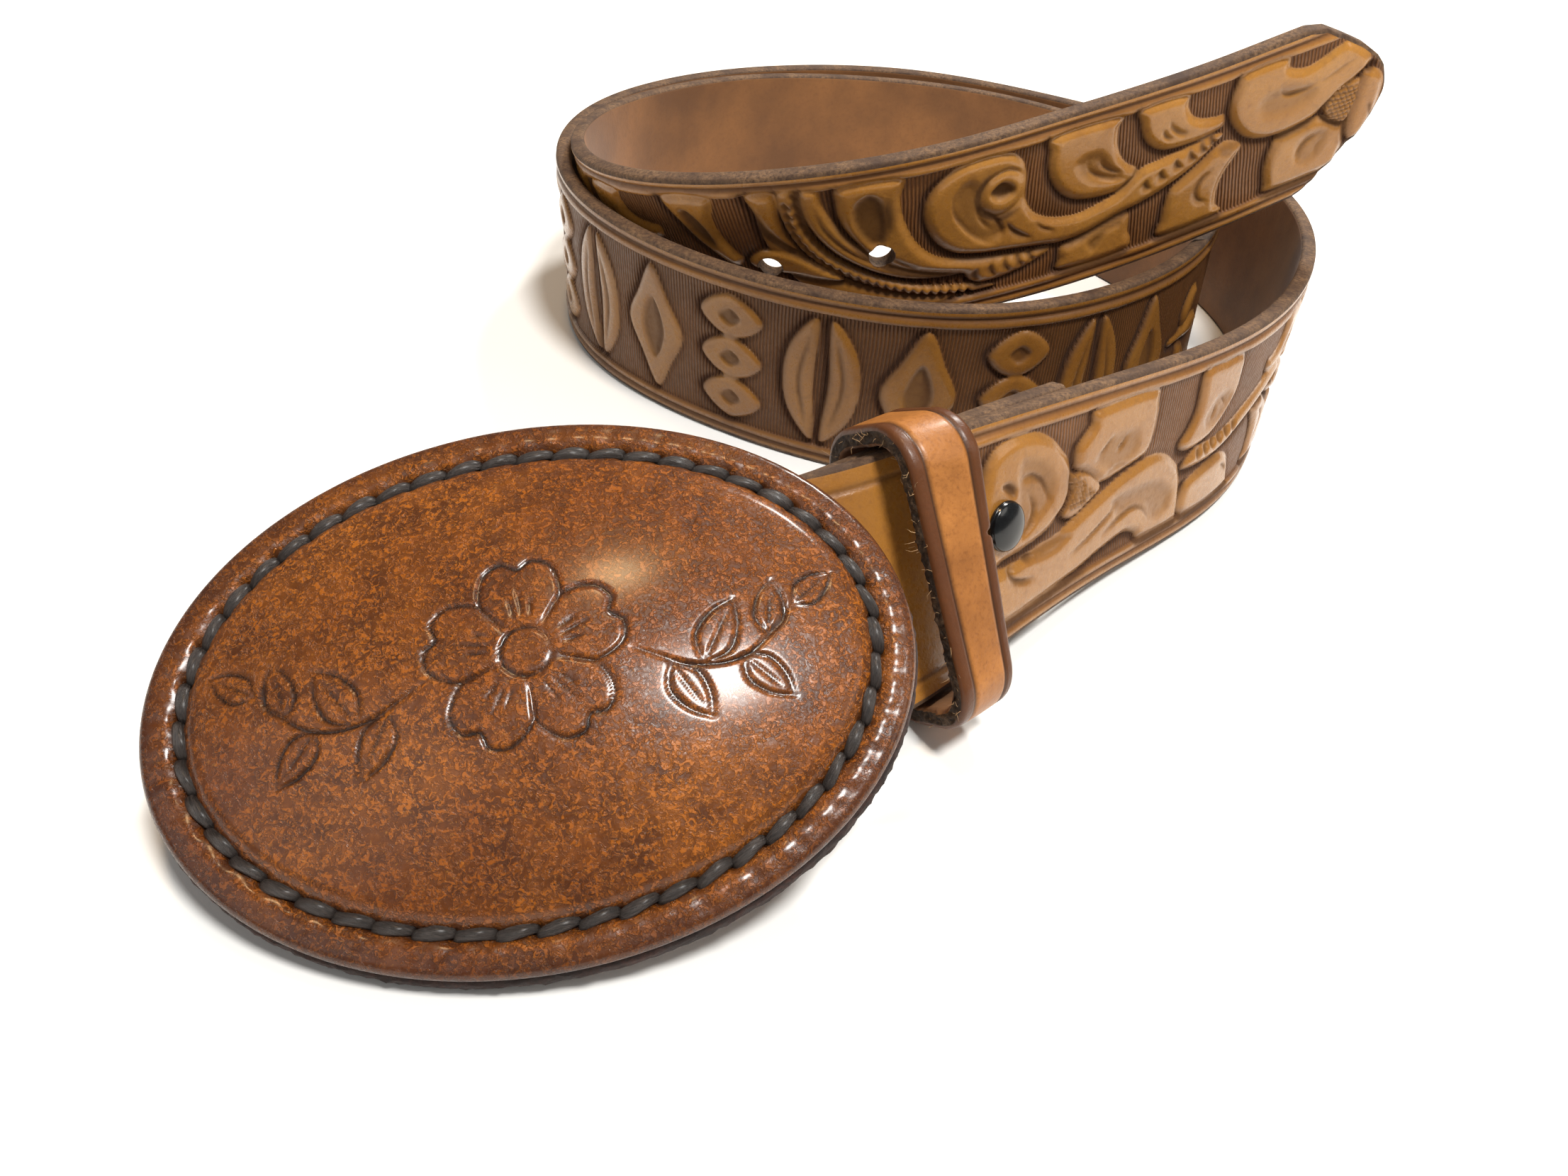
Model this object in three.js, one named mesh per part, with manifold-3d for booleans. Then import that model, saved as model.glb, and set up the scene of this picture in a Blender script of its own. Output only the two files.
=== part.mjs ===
// A tooled leather belt, coiled on a table on its lower edge, with an oval leather covered buckle.
// Millimetres, +Z up, the table at z = 0, the camera side towards -Y.
import * as THREE from 'three';
import { mergeVertices } from 'three/addons/utils/BufferGeometryUtils.js';
import Module from 'manifold-3d';

const wasm = await Module();
wasm.setup();

// Driving dimensions
const BELT = { width: 38, thick: 3.4, bevel: 0.5, step: 5 };
const FOLD = { length: 64, gap: 0.4, wedge: 16 };
const HOLES = { first: 108.6, pitch: 22, count: 5, diameter: 5, aboveMiddle: -1.3 };
const SNAP = { fromFold: 45, aboveMiddle: 1.4, capRadius: 4.1, capHeight: 1.6, postRadius: 1.6 };
const SOCKET = { radius: 3.9, height: 2.2 };
const KEEPER = { width: 10.6, depth: 21.4, height: 46.2, thick: 3, corner: 7.5, bevel: 0.4 };
const KEEPER_SET = { fromFold: 27.6, front: 9.2, aboveMiddle: 0.1, roll: 3.5, crooked: -2 };
const BUCKLE = { halfLong: 48.9, halfShort: 36.2 };
const BUCKLE_SET = { x: -45.2, y: -112.3, z: 24.5, heading: 15, rise: 9.5, roll: 29 };
const COVER = { thick: 2.4, domeInset: 7.4, domeHeight: 5.4, domeFoot: 1.6 };
const BACKING = { thick: 3, inset: 0.3 };
const BAR = { radius: 1.75, halfLength: 21.8, aboveMiddle: 0.8, corner: 2.4, reach: 11, narrowing: 0.96 };
const HOOK = { radius: 2, length: 7, fromMiddle: -34 };
const CLEAR = 0.3;

// Route of the belt from its tip to the fold at the buckle: one row for each bend of a smooth curve,
// matched to the photo in whole millimetres. x and y are in plan, lift is the height of the lower edge,
// and lean turns the outer face upwards, in degrees. The first row lies past the tip, the last past
// the fold.
const ROUTE = [
  { x: 132, y: 52, lift: 60, lean: -10 },
  { x: 89, y: 36, lift: 53, lean: -14 },
  { x: 62, y: 28, lift: 38, lean: -7 },
  { x: 24, y: 10, lift: 27, lean: -2 },
  { x: -8, y: -8, lift: 22, lean: -18 },
  { x: -61, y: 7, lift: 9, lean: -26 },
  { x: -77, y: 67, lift: 0, lean: -5 },
  { x: -56, y: 106, lift: 0, lean: 0 },
  { x: -27, y: 125, lift: 0, lean: 0 },
  { x: 20, y: 132, lift: 0, lean: 0 },
  { x: 56, y: 112, lift: 0, lean: 0 },
  { x: 80, y: 78, lift: 0, lean: 1 },
  { x: 71, y: 33, lift: 0, lean: 5 },
  { x: 47, y: -2, lift: 0, lean: 8 },
  { x: 10, y: -23, lift: 0, lean: -3 },
  { x: -35, y: -12, lift: 0, lean: -10 },
  { x: -70, y: 15, lift: 0, lean: -4 },
  { x: -81, y: 58, lift: 0, lean: -3 },
  { x: -68, y: 98, lift: 0, lean: -1 },
  { x: -38, y: 130, lift: 0, lean: 7 },
  { x: 3, y: 146, lift: 0, lean: 8 },
  { x: 44, y: 134, lift: 0, lean: 9 },
  { x: 82, y: 112, lift: 0, lean: 5 },
  { x: 96, y: 70, lift: 0, lean: -3 },
  { x: 89, y: 27, lift: 0, lean: -2 },
  { x: 71, y: -12, lift: 0, lean: 7 },
  { x: 40, y: -42, lift: 2, lean: 7 },
  { x: 6, y: -80, lift: 6, lean: 24 },
  { x: -13, y: -93, lift: 5, lean: 47 },
  { x: -65, y: -98, lift: 7, lean: 28 },
];

// Outline of the rounded tip: half the width at each distance from the end.
const TIP = [
  { from: 0, half: 3.2 },
  { from: 0.8, half: 5.6 },
  { from: 2.6, half: 8.2 },
  { from: 6, half: 11.6 },
  { from: 10.5, half: 15.2 },
  { from: 14, half: 17.9 },
  { from: 17.5, half: BELT.width / 2 },
];

// Finish of each piece
const FINISH = {
  strap: { color: 0x9a6434, roughness: 0.55, metalness: 0 },
  keeper: { color: 0xa8692f, roughness: 0.5, metalness: 0 },
  cover: { color: 0x8f5220, roughness: 0.4, metalness: 0 },
  backing: { color: 0x4a2a17, roughness: 0.8, metalness: 0 },
  blackSnap: { color: 0x121212, roughness: 0.2, metalness: 0.4 },
  steel: { color: 0xb9b9b4, roughness: 0.3, metalness: 1 },
};

const radians = THREE.MathUtils.degToRad;

// A point of the route's curve at parameter t, counted in rows, as plan position, lift and lean.
function routePoint(t) {
  const first = Math.min(Math.max(Math.floor(t), 0), ROUTE.length - 4);
  const u = t - first;
  const weights = [
    (1 - u) ** 3 / 6,
    (3 * u ** 3 - 6 * u ** 2 + 4) / 6,
    (-3 * u ** 3 + 3 * u ** 2 + 3 * u + 1) / 6,
    u ** 3 / 6,
  ];
  const sum = (column) => weights.reduce((total, w, k) => total + w * ROUTE[first + k][column], 0);
  const lean = radians(sum('lean'));
  const middle = sum('lift') + BELT.width / 2 * Math.cos(lean) + BELT.thick * Math.max(0, Math.sin(lean));
  return { position: new THREE.Vector3(sum('x'), sum('y'), middle), lean };
}

// Length along the route at evenly spaced parameters
const LAST = ROUTE.length - 3;
const SAMPLES = 4000;
const lengths = [0];
for (let i = 1; i <= SAMPLES; i += 1) {
  const before = routePoint((i - 1) / SAMPLES * LAST).position;
  lengths.push(lengths[i - 1] + before.distanceTo(routePoint(i / SAMPLES * LAST).position));
}
const ROUTE_LENGTH = lengths[SAMPLES];
const SNAP_AT = ROUTE_LENGTH - SNAP.fromFold;
const KEEPER_AT = ROUTE_LENGTH - KEEPER_SET.fromFold;

function parameterAt(distance) {
  const high = Math.min(Math.max(lengths.findIndex((length) => length >= distance), 1), SAMPLES);
  const part = (distance - lengths[high - 1]) / (lengths[high] - lengths[high - 1]);
  return (high - 1 + part) / SAMPLES * LAST;
}

// Frame of the belt's outer face: along runs to the buckle, out leaves the face, up lies across the belt.
function routeFrame(distance) {
  const t = parameterAt(Math.min(distance, ROUTE_LENGTH));
  const nudge = 0.002;
  const { position, lean } = routePoint(t);
  const along = routePoint(t + nudge).position.sub(routePoint(t - nudge).position).normalize();
  const level = new THREE.Vector3(0, 0, 1).cross(along).normalize();
  const rising = along.clone().cross(level);
  const out = level.clone().multiplyScalar(Math.cos(lean)).addScaledVector(rising, Math.sin(lean));
  const up = rising.clone().multiplyScalar(Math.cos(lean)).addScaledVector(level, -Math.sin(lean));
  return { origin: position, along, out, up };
}

// A place given as distance along the belt, height over its outer face and offset across it.
function onBelt(distance, over, across) {
  const { origin, out, up } = routeFrame(distance);
  return origin.addScaledVector(out, over).addScaledVector(up, across);
}

// The fold round the buckle's bar and the short end that runs back behind the belt
const INNER_BEND = BAR.radius + CLEAR;
const BEND_LENGTH = Math.PI * (INNER_BEND + BELT.thick / 2);

function barPoint(across) {
  return onBelt(ROUTE_LENGTH, -BELT.thick - INNER_BEND, across);
}

function beltFrame(distance) {
  if (distance <= ROUTE_LENGTH) return routeFrame(distance);
  const past = distance - ROUTE_LENGTH;
  if (past < BEND_LENGTH) {
    const { along, out, up } = routeFrame(ROUTE_LENGTH);
    const angle = past / BEND_LENGTH * Math.PI;
    const turned = out.clone().multiplyScalar(Math.cos(angle)).addScaledVector(along, Math.sin(angle));
    return { origin: barPoint(0).addScaledVector(turned, INNER_BEND + BELT.thick), out: turned, up };
  }
  const back = past - BEND_LENGTH;
  const wedge = 1 - THREE.MathUtils.smoothstep(back, 0, FOLD.wedge);
  const gap = FOLD.gap + (2 * INNER_BEND - FOLD.gap) * wedge;
  const { origin, out, up } = routeFrame(ROUTE_LENGTH - back);
  return { origin: origin.addScaledVector(out, -2 * BELT.thick - gap), out: out.negate(), up };
}

function halfWidthAt(distance) {
  const row = TIP.findIndex((entry) => entry.from >= distance);
  if (row < 0) return BELT.width / 2;
  if (row === 0) return TIP[0].half;
  const part = (distance - TIP[row - 1].from) / (TIP[row].from - TIP[row - 1].from);
  return THREE.MathUtils.lerp(TIP[row - 1].half, TIP[row].half, part);
}

// Section of the belt, a flat bar with bevelled corners: pairs of depth under the face and offset across.
function beltSection(half) {
  const { thick, bevel } = BELT;
  const side = [[0, half - bevel], [bevel, half], [thick - bevel, half], [thick, half - bevel]];
  const mirrored = side.map(([depth, across]) => [depth, -across]).reverse();
  return [...side, ...mirrored];
}

// Closed body from rings of points that each have the same count, with flat ends.
function ringsToGeometry(rings) {
  const count = rings[0].length;
  const vertices = rings.flat().flatMap((point) => [point.x, point.y, point.z]);
  const index = [];
  for (let ring = 0; ring < rings.length - 1; ring += 1) {
    for (let k = 0; k < count; k += 1) {
      const a = ring * count + k;
      const b = ring * count + (k + 1) % count;
      index.push(a, b, b + count, a, b + count, a + count);
    }
  }
  const lastRing = (rings.length - 1) * count;
  for (let k = 1; k < count - 1; k += 1) {
    index.push(0, k + 1, k);
    index.push(lastRing, lastRing + k, lastRing + k + 1);
  }
  const geometry = new THREE.BufferGeometry();
  geometry.setAttribute('position', new THREE.Float32BufferAttribute(vertices, 3));
  geometry.setIndex(index);
  return geometry;
}

function toSolid(geometry) {
  const bare = geometry.clone();
  bare.deleteAttribute('normal');
  bare.deleteAttribute('uv');
  const merged = mergeVertices(bare, 1e-4);
  return new wasm.Manifold(new wasm.Mesh({
    numProp: 3,
    vertProperties: new Float32Array(merged.attributes.position.array),
    triVerts: new Uint32Array(merged.index.array),
  }));
}

function toGeometry(solid) {
  const mesh = solid.getMesh();
  const geometry = new THREE.BufferGeometry();
  geometry.setAttribute('position', new THREE.BufferAttribute(mesh.vertProperties, 3));
  geometry.setIndex(new THREE.BufferAttribute(mesh.triVerts, 1));
  geometry.computeVertexNormals();
  return geometry;
}

// Puts a piece modelled along Z on the belt: its Z leaves the outer face, its Y lies across the belt.
function standOnBelt(geometry, distance, across) {
  const { along, out, up } = routeFrame(distance);
  const matrix = new THREE.Matrix4().makeBasis(up.clone().cross(out), up, out);
  matrix.setPosition(onBelt(distance, 0, across));
  return geometry.applyMatrix4(matrix);
}

// A punch through the belt, from just over the outer face to a given depth.
function punch(distance, across, radius, depth) {
  const over = 0.3;
  const cylinder = new THREE.CylinderGeometry(radius, radius, depth + 2 * over, 20);
  cylinder.rotateX(Math.PI / 2);
  cylinder.translate(0, 0, -depth / 2);
  return toSolid(standOnBelt(cylinder, distance, across));
}

function strap() {
  const marks = TIP.map((row) => row.from);
  for (let d = TIP.at(-1).from + BELT.step; d < ROUTE_LENGTH - 1; d += BELT.step) marks.push(d);
  const bendSteps = 10;
  for (let k = 0; k <= bendSteps; k += 1) marks.push(ROUTE_LENGTH + BEND_LENGTH * k / bendSteps);
  const returnSteps = 16;
  for (let k = 1; k <= returnSteps; k += 1) {
    marks.push(ROUTE_LENGTH + BEND_LENGTH + FOLD.length * k / returnSteps);
  }
  const rings = marks.map((distance) => {
    const { origin, out, up } = beltFrame(distance);
    return beltSection(halfWidthAt(distance)).map(([depth, across]) => (
      origin.clone().addScaledVector(out, -depth).addScaledVector(up, across)));
  });
  let solid = toSolid(ringsToGeometry(rings));
  for (let k = 0; k < HOLES.count; k += 1) {
    const distance = HOLES.first + k * HOLES.pitch;
    solid = solid.subtract(punch(distance, HOLES.aboveMiddle, HOLES.diameter / 2, BELT.thick));
  }
  const bothLayers = 2 * BELT.thick + FOLD.gap;
  solid = solid.subtract(punch(SNAP_AT, SNAP.aboveMiddle, SNAP.postRadius + CLEAR, bothLayers));
  return toGeometry(solid);
}

function roundedRectangle(width, height, radius, path = new THREE.Shape()) {
  const x = width / 2;
  const y = height / 2;
  path.moveTo(x, -y + radius);
  path.lineTo(x, y - radius);
  path.absarc(x - radius, y - radius, radius, 0, Math.PI / 2);
  path.lineTo(-x + radius, y);
  path.absarc(-x + radius, y - radius, radius, Math.PI / 2, Math.PI);
  path.lineTo(-x, -y + radius);
  path.absarc(-x + radius, -y + radius, radius, Math.PI, 1.5 * Math.PI);
  path.lineTo(x - radius, -y);
  path.absarc(x - radius, -y + radius, radius, 1.5 * Math.PI, 2 * Math.PI);
  return path;
}

// The keeper is a closed leather loop, drawn flat and then bent to follow the belt that runs through it.
function keeperLoop() {
  const { bevel, thick, corner } = KEEPER;
  const outer = roundedRectangle(KEEPER.depth - 2 * bevel, KEEPER.height - 2 * bevel, corner - bevel);
  const innerDepth = KEEPER.depth - 2 * thick + 2 * bevel;
  const innerHeight = KEEPER.height - 2 * thick + 2 * bevel;
  outer.holes.push(roundedRectangle(innerDepth, innerHeight, corner - thick + bevel, new THREE.Path()));
  const geometry = new THREE.ExtrudeGeometry(outer, {
    depth: KEEPER.width - 2 * bevel, steps: 3, curveSegments: 5,
    bevelEnabled: true, bevelThickness: bevel, bevelSize: bevel, bevelSegments: 1,
  });
  geometry.translate(0, 0, bevel - KEEPER.width / 2);
  geometry.rotateZ(radians(KEEPER_SET.roll));
  geometry.translate(KEEPER_SET.front - KEEPER.depth / 2, KEEPER_SET.aboveMiddle, 0);
  const slope = Math.tan(radians(KEEPER_SET.crooked));
  const place = geometry.attributes.position;
  for (let i = 0; i < place.count; i += 1) {
    const across = place.getY(i);
    const distance = KEEPER_AT + place.getZ(i) + across * slope;
    const point = onBelt(distance, place.getX(i), across);
    place.setXYZ(i, point.x, point.y, point.z);
  }
  return geometry;
}

function snapCap() {
  const { capRadius, capHeight, postRadius } = SNAP;
  const postEnd = -(2 * BELT.thick + FOLD.gap + CLEAR + SOCKET.height);
  const profile = [new THREE.Vector2(0, postEnd), new THREE.Vector2(postRadius, postEnd)];
  profile.push(new THREE.Vector2(postRadius, CLEAR), new THREE.Vector2(capRadius - 0.3, CLEAR));
  const domeSteps = 5;
  for (let k = 0; k <= domeSteps; k += 1) {
    const angle = Math.PI / 2 * k / domeSteps;
    const height = CLEAR + 0.4 + (capHeight - 0.4) * Math.sin(angle);
    profile.push(new THREE.Vector2(k === domeSteps ? 0 : capRadius * Math.cos(angle), height));
  }
  const geometry = new THREE.LatheGeometry(profile, 24);
  geometry.rotateX(Math.PI / 2);
  return standOnBelt(geometry, SNAP_AT, SNAP.aboveMiddle);
}

function snapSocket() {
  const top = -(2 * BELT.thick + FOLD.gap) - CLEAR;
  const bottom = top - SOCKET.height;
  const bore = SNAP.postRadius + CLEAR;
  const round = 0.8;
  const outline = [[bore, top], [bore, bottom], [SOCKET.radius - round, bottom],
    [SOCKET.radius, bottom + round], [SOCKET.radius, top], [bore, top]];
  const geometry = new THREE.LatheGeometry(outline.map(([x, y]) => new THREE.Vector2(x, y)), 24);
  geometry.rotateX(Math.PI / 2);
  return standOnBelt(geometry, SNAP_AT, SNAP.aboveMiddle);
}

// Closed oval body from rows that run from the top middle over the edge to the bottom middle.
// inset narrows both half lengths, scale then shrinks the oval towards the middle, z is the height.
function ovalSolid(rows) {
  const around = 56;
  const vertices = [];
  const index = [];
  rows.forEach(({ inset, scale, z }) => {
    for (let k = 0; k < around; k += 1) {
      const angle = 2 * Math.PI * k / around;
      const x = (BUCKLE.halfLong - inset) * scale * Math.cos(angle);
      const y = (BUCKLE.halfShort - inset) * scale * Math.sin(angle);
      vertices.push(x, y, z);
    }
  });
  for (let row = 0; row < rows.length - 1; row += 1) {
    for (let k = 0; k < around; k += 1) {
      const a = row * around + k;
      const b = row * around + (k + 1) % around;
      index.push(a, a + around, b + around, a, b + around, b);
    }
  }
  const geometry = new THREE.BufferGeometry();
  geometry.setAttribute('position', new THREE.Float32BufferAttribute(vertices, 3));
  geometry.setIndex(index);
  return toGeometry(toSolid(geometry));
}

function domeHeightAt(scale) {
  return COVER.domeFoot + COVER.domeHeight * (1 - scale ** 2);
}

function buckleCover() {
  const { thick, domeInset } = COVER;
  const scales = [0, 0.2, 0.4, 0.6, 0.8, 1];
  const wallInset = 0.6;
  const top = scales.map((scale) => ({ inset: domeInset, scale, z: domeHeightAt(scale) }));
  const rim = [
    { inset: domeInset - 2, scale: 1, z: 0.3 },
    { inset: domeInset - 3, scale: 1, z: 0 },
    { inset: 1, scale: 1, z: 0 },
    { inset: 0.3, scale: 1, z: -0.3 },
    { inset: 0, scale: 1, z: -1 },
    { inset: 0, scale: 1, z: -thick + 0.5 },
    { inset: 0.5, scale: 1, z: -thick },
    { inset: domeInset - 2.4, scale: 1, z: -thick },
  ];
  const under = scales.map((scale) => (
    { inset: domeInset + wallInset, scale, z: domeHeightAt(scale) - thick }));
  return ovalSolid([...top, ...rim, ...under.reverse()]);
}

function buckleBacking() {
  const { thick, inset } = BACKING;
  const top = -COVER.thick - CLEAR;
  const edge = 0.5;
  return ovalSolid([
    { inset, scale: 0, z: top },
    { inset: inset + edge, scale: 1, z: top },
    { inset, scale: 1, z: top - edge },
    { inset, scale: 1, z: top - thick + edge },
    { inset: inset + edge, scale: 1, z: top - thick },
    { inset, scale: 0, z: top - thick },
  ]);
}

// Place of the buckle: x along its long way, y across, z out of its face.
function buckleMatrix() {
  const { x, y, z, heading, rise, roll } = BUCKLE_SET;
  const turn = new THREE.Euler(radians(roll), radians(-rise), radians(heading), 'ZYX');
  return new THREE.Matrix4().makeRotationFromEuler(turn).setPosition(x, y, z);
}

const BACK_FACE = -COVER.thick - CLEAR - BACKING.thick;

// Wire loop on the buckle's back: the belt folds round its bar, and its legs meet the backing.
function buckleBar() {
  const toBuckle = buckleMatrix().invert();
  const ends = [1, -1].map((side) => (
    barPoint(BAR.aboveMiddle + side * BAR.halfLength).applyMatrix4(toBuckle)));
  const feet = ends.map((end) => (
    new THREE.Vector3(end.x - BAR.reach, end.y * BAR.narrowing, BACK_FACE - CLEAR)));
  const bends = ends.map((end, k) => new THREE.Vector3(feet[k].x, feet[k].y, end.z));
  const towards = (from, to) => from.clone().lerp(to, BAR.corner / from.distanceTo(to));
  const toLeg = ends.map((end, k) => towards(end, bends[k]));
  const toRod = ends.map((end, k) => towards(end, ends[1 - k]));
  const route = new THREE.CurvePath();
  route.add(new THREE.QuadraticBezierCurve3(feet[0], bends[0], toLeg[0]));
  route.add(new THREE.QuadraticBezierCurve3(toLeg[0], ends[0], toRod[0]));
  route.add(new THREE.LineCurve3(toRod[0], toRod[1]));
  route.add(new THREE.QuadraticBezierCurve3(toRod[1], ends[1], toLeg[1]));
  route.add(new THREE.QuadraticBezierCurve3(toLeg[1], bends[1], feet[1]));
  const section = new THREE.Shape().absarc(0, 0, BAR.radius, 0, 2 * Math.PI);
  const geometry = new THREE.ExtrudeGeometry(section, { extrudePath: route, steps: 60, curveSegments: 5 });
  return geometry.applyMatrix4(buckleMatrix());
}

function buckleHook() {
  const { radius, length } = HOOK;
  const profile = [[0, -length], [radius * 0.7, -length], [radius, -length + 0.6], [radius, 0], [0, 0]];
  const geometry = new THREE.LatheGeometry(profile.map(([x, y]) => new THREE.Vector2(x, y)), 16);
  geometry.rotateX(Math.PI / 2);
  geometry.translate(HOOK.fromMiddle, 0, BACK_FACE - CLEAR);
  return geometry.applyMatrix4(buckleMatrix());
}

const belt = new THREE.Group();

function add(name, geometry, finish) {
  const mesh = new THREE.Mesh(geometry, new THREE.MeshStandardMaterial(finish));
  mesh.name = name;
  belt.add(mesh);
}

add('strap', strap(), FINISH.strap);
add('keeper_loop', keeperLoop(), FINISH.keeper);
add('snap_cap', snapCap(), FINISH.blackSnap);
add('snap_socket', snapSocket(), FINISH.steel);
add('buckle_cover', buckleCover().applyMatrix4(buckleMatrix()), FINISH.cover);
add('buckle_backing', buckleBacking().applyMatrix4(buckleMatrix()), FINISH.backing);
add('buckle_bar', buckleBar(), FINISH.steel);
add('buckle_hook', buckleHook(), FINISH.steel);

export default belt;
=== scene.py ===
"""Looks of the tooled leather belt: the strap with its tooled relief, the keeper, the snap,
the stitched oval buckle, their leather and metal, and the studio."""
import math

import bpy
import numpy as np
from mathutils import Matrix, Vector


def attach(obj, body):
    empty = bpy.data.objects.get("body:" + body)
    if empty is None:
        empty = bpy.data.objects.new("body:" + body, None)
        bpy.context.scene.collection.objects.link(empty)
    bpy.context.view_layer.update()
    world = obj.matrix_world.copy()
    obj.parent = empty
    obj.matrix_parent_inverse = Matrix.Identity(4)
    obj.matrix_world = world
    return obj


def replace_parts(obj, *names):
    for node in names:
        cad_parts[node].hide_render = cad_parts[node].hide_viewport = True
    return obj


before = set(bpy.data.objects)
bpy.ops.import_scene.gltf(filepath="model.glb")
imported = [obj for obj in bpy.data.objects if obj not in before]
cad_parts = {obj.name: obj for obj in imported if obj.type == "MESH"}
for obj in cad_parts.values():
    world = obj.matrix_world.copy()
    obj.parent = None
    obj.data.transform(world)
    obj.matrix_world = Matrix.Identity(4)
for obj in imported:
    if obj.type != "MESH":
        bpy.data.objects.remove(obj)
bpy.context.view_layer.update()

MM = 0.001

# Driving dimensions of the CAD model, in millimetres
WIDTH, THICK = 38.0, 3.4
FOLD_LENGTH, FOLD_GAP, FOLD_WEDGE = 64.0, 0.4, 16.0
HOLE_FIRST, HOLE_PITCH, HOLE_COUNT, HOLE_RADIUS, HOLE_ACROSS = 108.6, 22.0, 5, 2.5, -1.3
SNAP_FROM_FOLD, SNAP_ACROSS, SNAP_RADIUS, SNAP_HEIGHT, SNAP_POST = 45.0, 1.4, 4.1, 1.6, 1.6
KEEPER_WIDTH, KEEPER_DEPTH, KEEPER_HEIGHT, KEEPER_THICK, KEEPER_CORNER = 10.6, 21.4, 46.2, 3.0, 7.5
KEEPER_FROM_FOLD, KEEPER_FRONT, KEEPER_ACROSS, KEEPER_ROLL, KEEPER_CROOKED = 27.6, 9.2, 0.1, 3.5, -2.0
HALF_LONG, HALF_SHORT = 48.9, 36.2
BUCKLE_PLACE, BUCKLE_HEADING, BUCKLE_RISE, BUCKLE_ROLL = (-45.2, -112.3, 24.5), 15.0, 9.5, 29.0
COVER_THICK, DOME_INSET, DOME_HEIGHT, DOME_FOOT = 2.4, 7.4, 5.4, 1.6
BACKING_THICK = 3.0
BAR_RADIUS, CLEAR = 1.75, 0.3

# Route of the belt from tip to fold: x and y in plan, lift of the lower edge, lean of the outer face.
ROUTE = np.array([
    (132, 52, 60, -10), (89, 36, 53, -14), (62, 28, 38, -7), (24, 10, 27, -2), (-8, -8, 22, -18),
    (-61, 7, 9, -26), (-77, 67, 0, -5), (-56, 106, 0, 0), (-27, 125, 0, 0), (20, 132, 0, 0),
    (56, 112, 0, 0), (80, 78, 0, 1), (71, 33, 0, 5), (47, -2, 0, 8), (10, -23, 0, -3),
    (-35, -12, 0, -10), (-70, 15, 0, -4), (-81, 58, 0, -3), (-68, 98, 0, -1), (-38, 130, 0, 7),
    (3, 146, 0, 8), (44, 134, 0, 9), (82, 112, 0, 5), (96, 70, 0, -3), (89, 27, 0, -2),
    (71, -12, 0, 7), (40, -42, 2, 7), (6, -80, 6, 24), (-13, -93, 5, 47), (-65, -98, 7, 28),
], float)
# Tip of the strap: distance from its first point, and half the width there.
TIP = np.array([(-0.6, 0.5), (-0.45, 1.6), (0, 3.2), (0.8, 5.6), (2.6, 8.2), (6, 11.6), (10.5, 15.2),
                (14, 17.9), (17.5, 19)], float)

# Sizes of the looks, in millimetres
EDGE_RADIUS, LINE_PITCH = 0.85, 0.72
GROUND_EDGE, GROOVE_AT, GROOVE_WIDE = 14.9, 16.9, 0.42
KEEPER_ROUND, KEEPER_CREASE, KEEPER_NOTCH = 0.8, 2.1, 4.6
STITCH_INSET, THREAD_RADIUS = 5.1, 0.84
REPEAT, FIGURES_FROM, FIGURE_PITCH, TOOLING_END = 118, 494, 19, 1095.5

# Direction along and across the belt in which the light falls on it
LIGHT_ALONG, LIGHT_ACROSS = 0.85, -0.52

# Counts, and the angles of the points on a rounded edge
STITCHES, FIBRE_COUNT = 49, 150
HOLE_POINTS, TURNED_POINTS, OVAL_POINTS, COVER_CELLS = 40, 64, 300, 270
ROUND_ANGLES = np.radians([22.5, 45, 67.5, 90])


# Route and frame of the belt

def route_point(t):
    first = np.clip(np.floor(t).astype(int), 0, len(ROUTE) - 4)
    u = t - first
    weights = [(1 - u) ** 3 / 6, (3 * u ** 3 - 6 * u ** 2 + 4) / 6,
               (-3 * u ** 3 + 3 * u ** 2 + 3 * u + 1) / 6, u ** 3 / 6]
    row = sum(w[:, None] * ROUTE[first + k] for k, w in enumerate(weights))
    lean = np.radians(row[:, 3])
    middle = row[:, 2] + WIDTH / 2 * np.cos(lean) + THICK * np.maximum(0, np.sin(lean))
    return np.column_stack([row[:, 0], row[:, 1], middle]), lean


def running_length(points):
    """Distance along a line of points at each of them."""
    return np.concatenate([[0], np.cumsum(np.linalg.norm(np.diff(points, axis=0), axis=1))])


SAMPLES = np.linspace(0, len(ROUTE) - 3, 4001)
LENGTHS = running_length(route_point(SAMPLES)[0])
ROUTE_LENGTH = LENGTHS[-1]
SNAP_AT, KEEPER_AT = ROUTE_LENGTH - SNAP_FROM_FOLD, ROUTE_LENGTH - KEEPER_FROM_FOLD
INNER_BEND = BAR_RADIUS + CLEAR
BEND_LENGTH = math.pi * (INNER_BEND + THICK / 2)
BELT_END = ROUTE_LENGTH + BEND_LENGTH + FOLD_LENGTH


def unit(vectors):
    return vectors / np.linalg.norm(vectors, axis=-1, keepdims=True)


def smooth(x, low=0.0, high=1.0):
    """Zero below low, one above high, and a soft step between them."""
    x = np.clip((x - low) / (high - low), 0, 1)
    return x * x * (3 - 2 * x)


def bell(x, width, power=2):
    """One at zero, falling off softly past the width."""
    return np.exp(-(x / width) ** power)


def route_frame(s):
    """Origin, along, out and up of the outer face at each distance on the route."""
    s = np.asarray(s, float)
    t = np.interp(s, LENGTHS, SAMPLES) + np.minimum(s, 0) * SAMPLES[1] / LENGTHS[1]
    origin, lean = route_point(t)
    along = unit(route_point(t + 0.002)[0] - route_point(t - 0.002)[0])
    level = unit(np.cross([0, 0, 1], along))
    rising = np.cross(along, level)
    cos, sin = np.cos(lean)[:, None], np.sin(lean)[:, None]
    return origin, along, cos * level + sin * rising, cos * rising - sin * level


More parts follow.
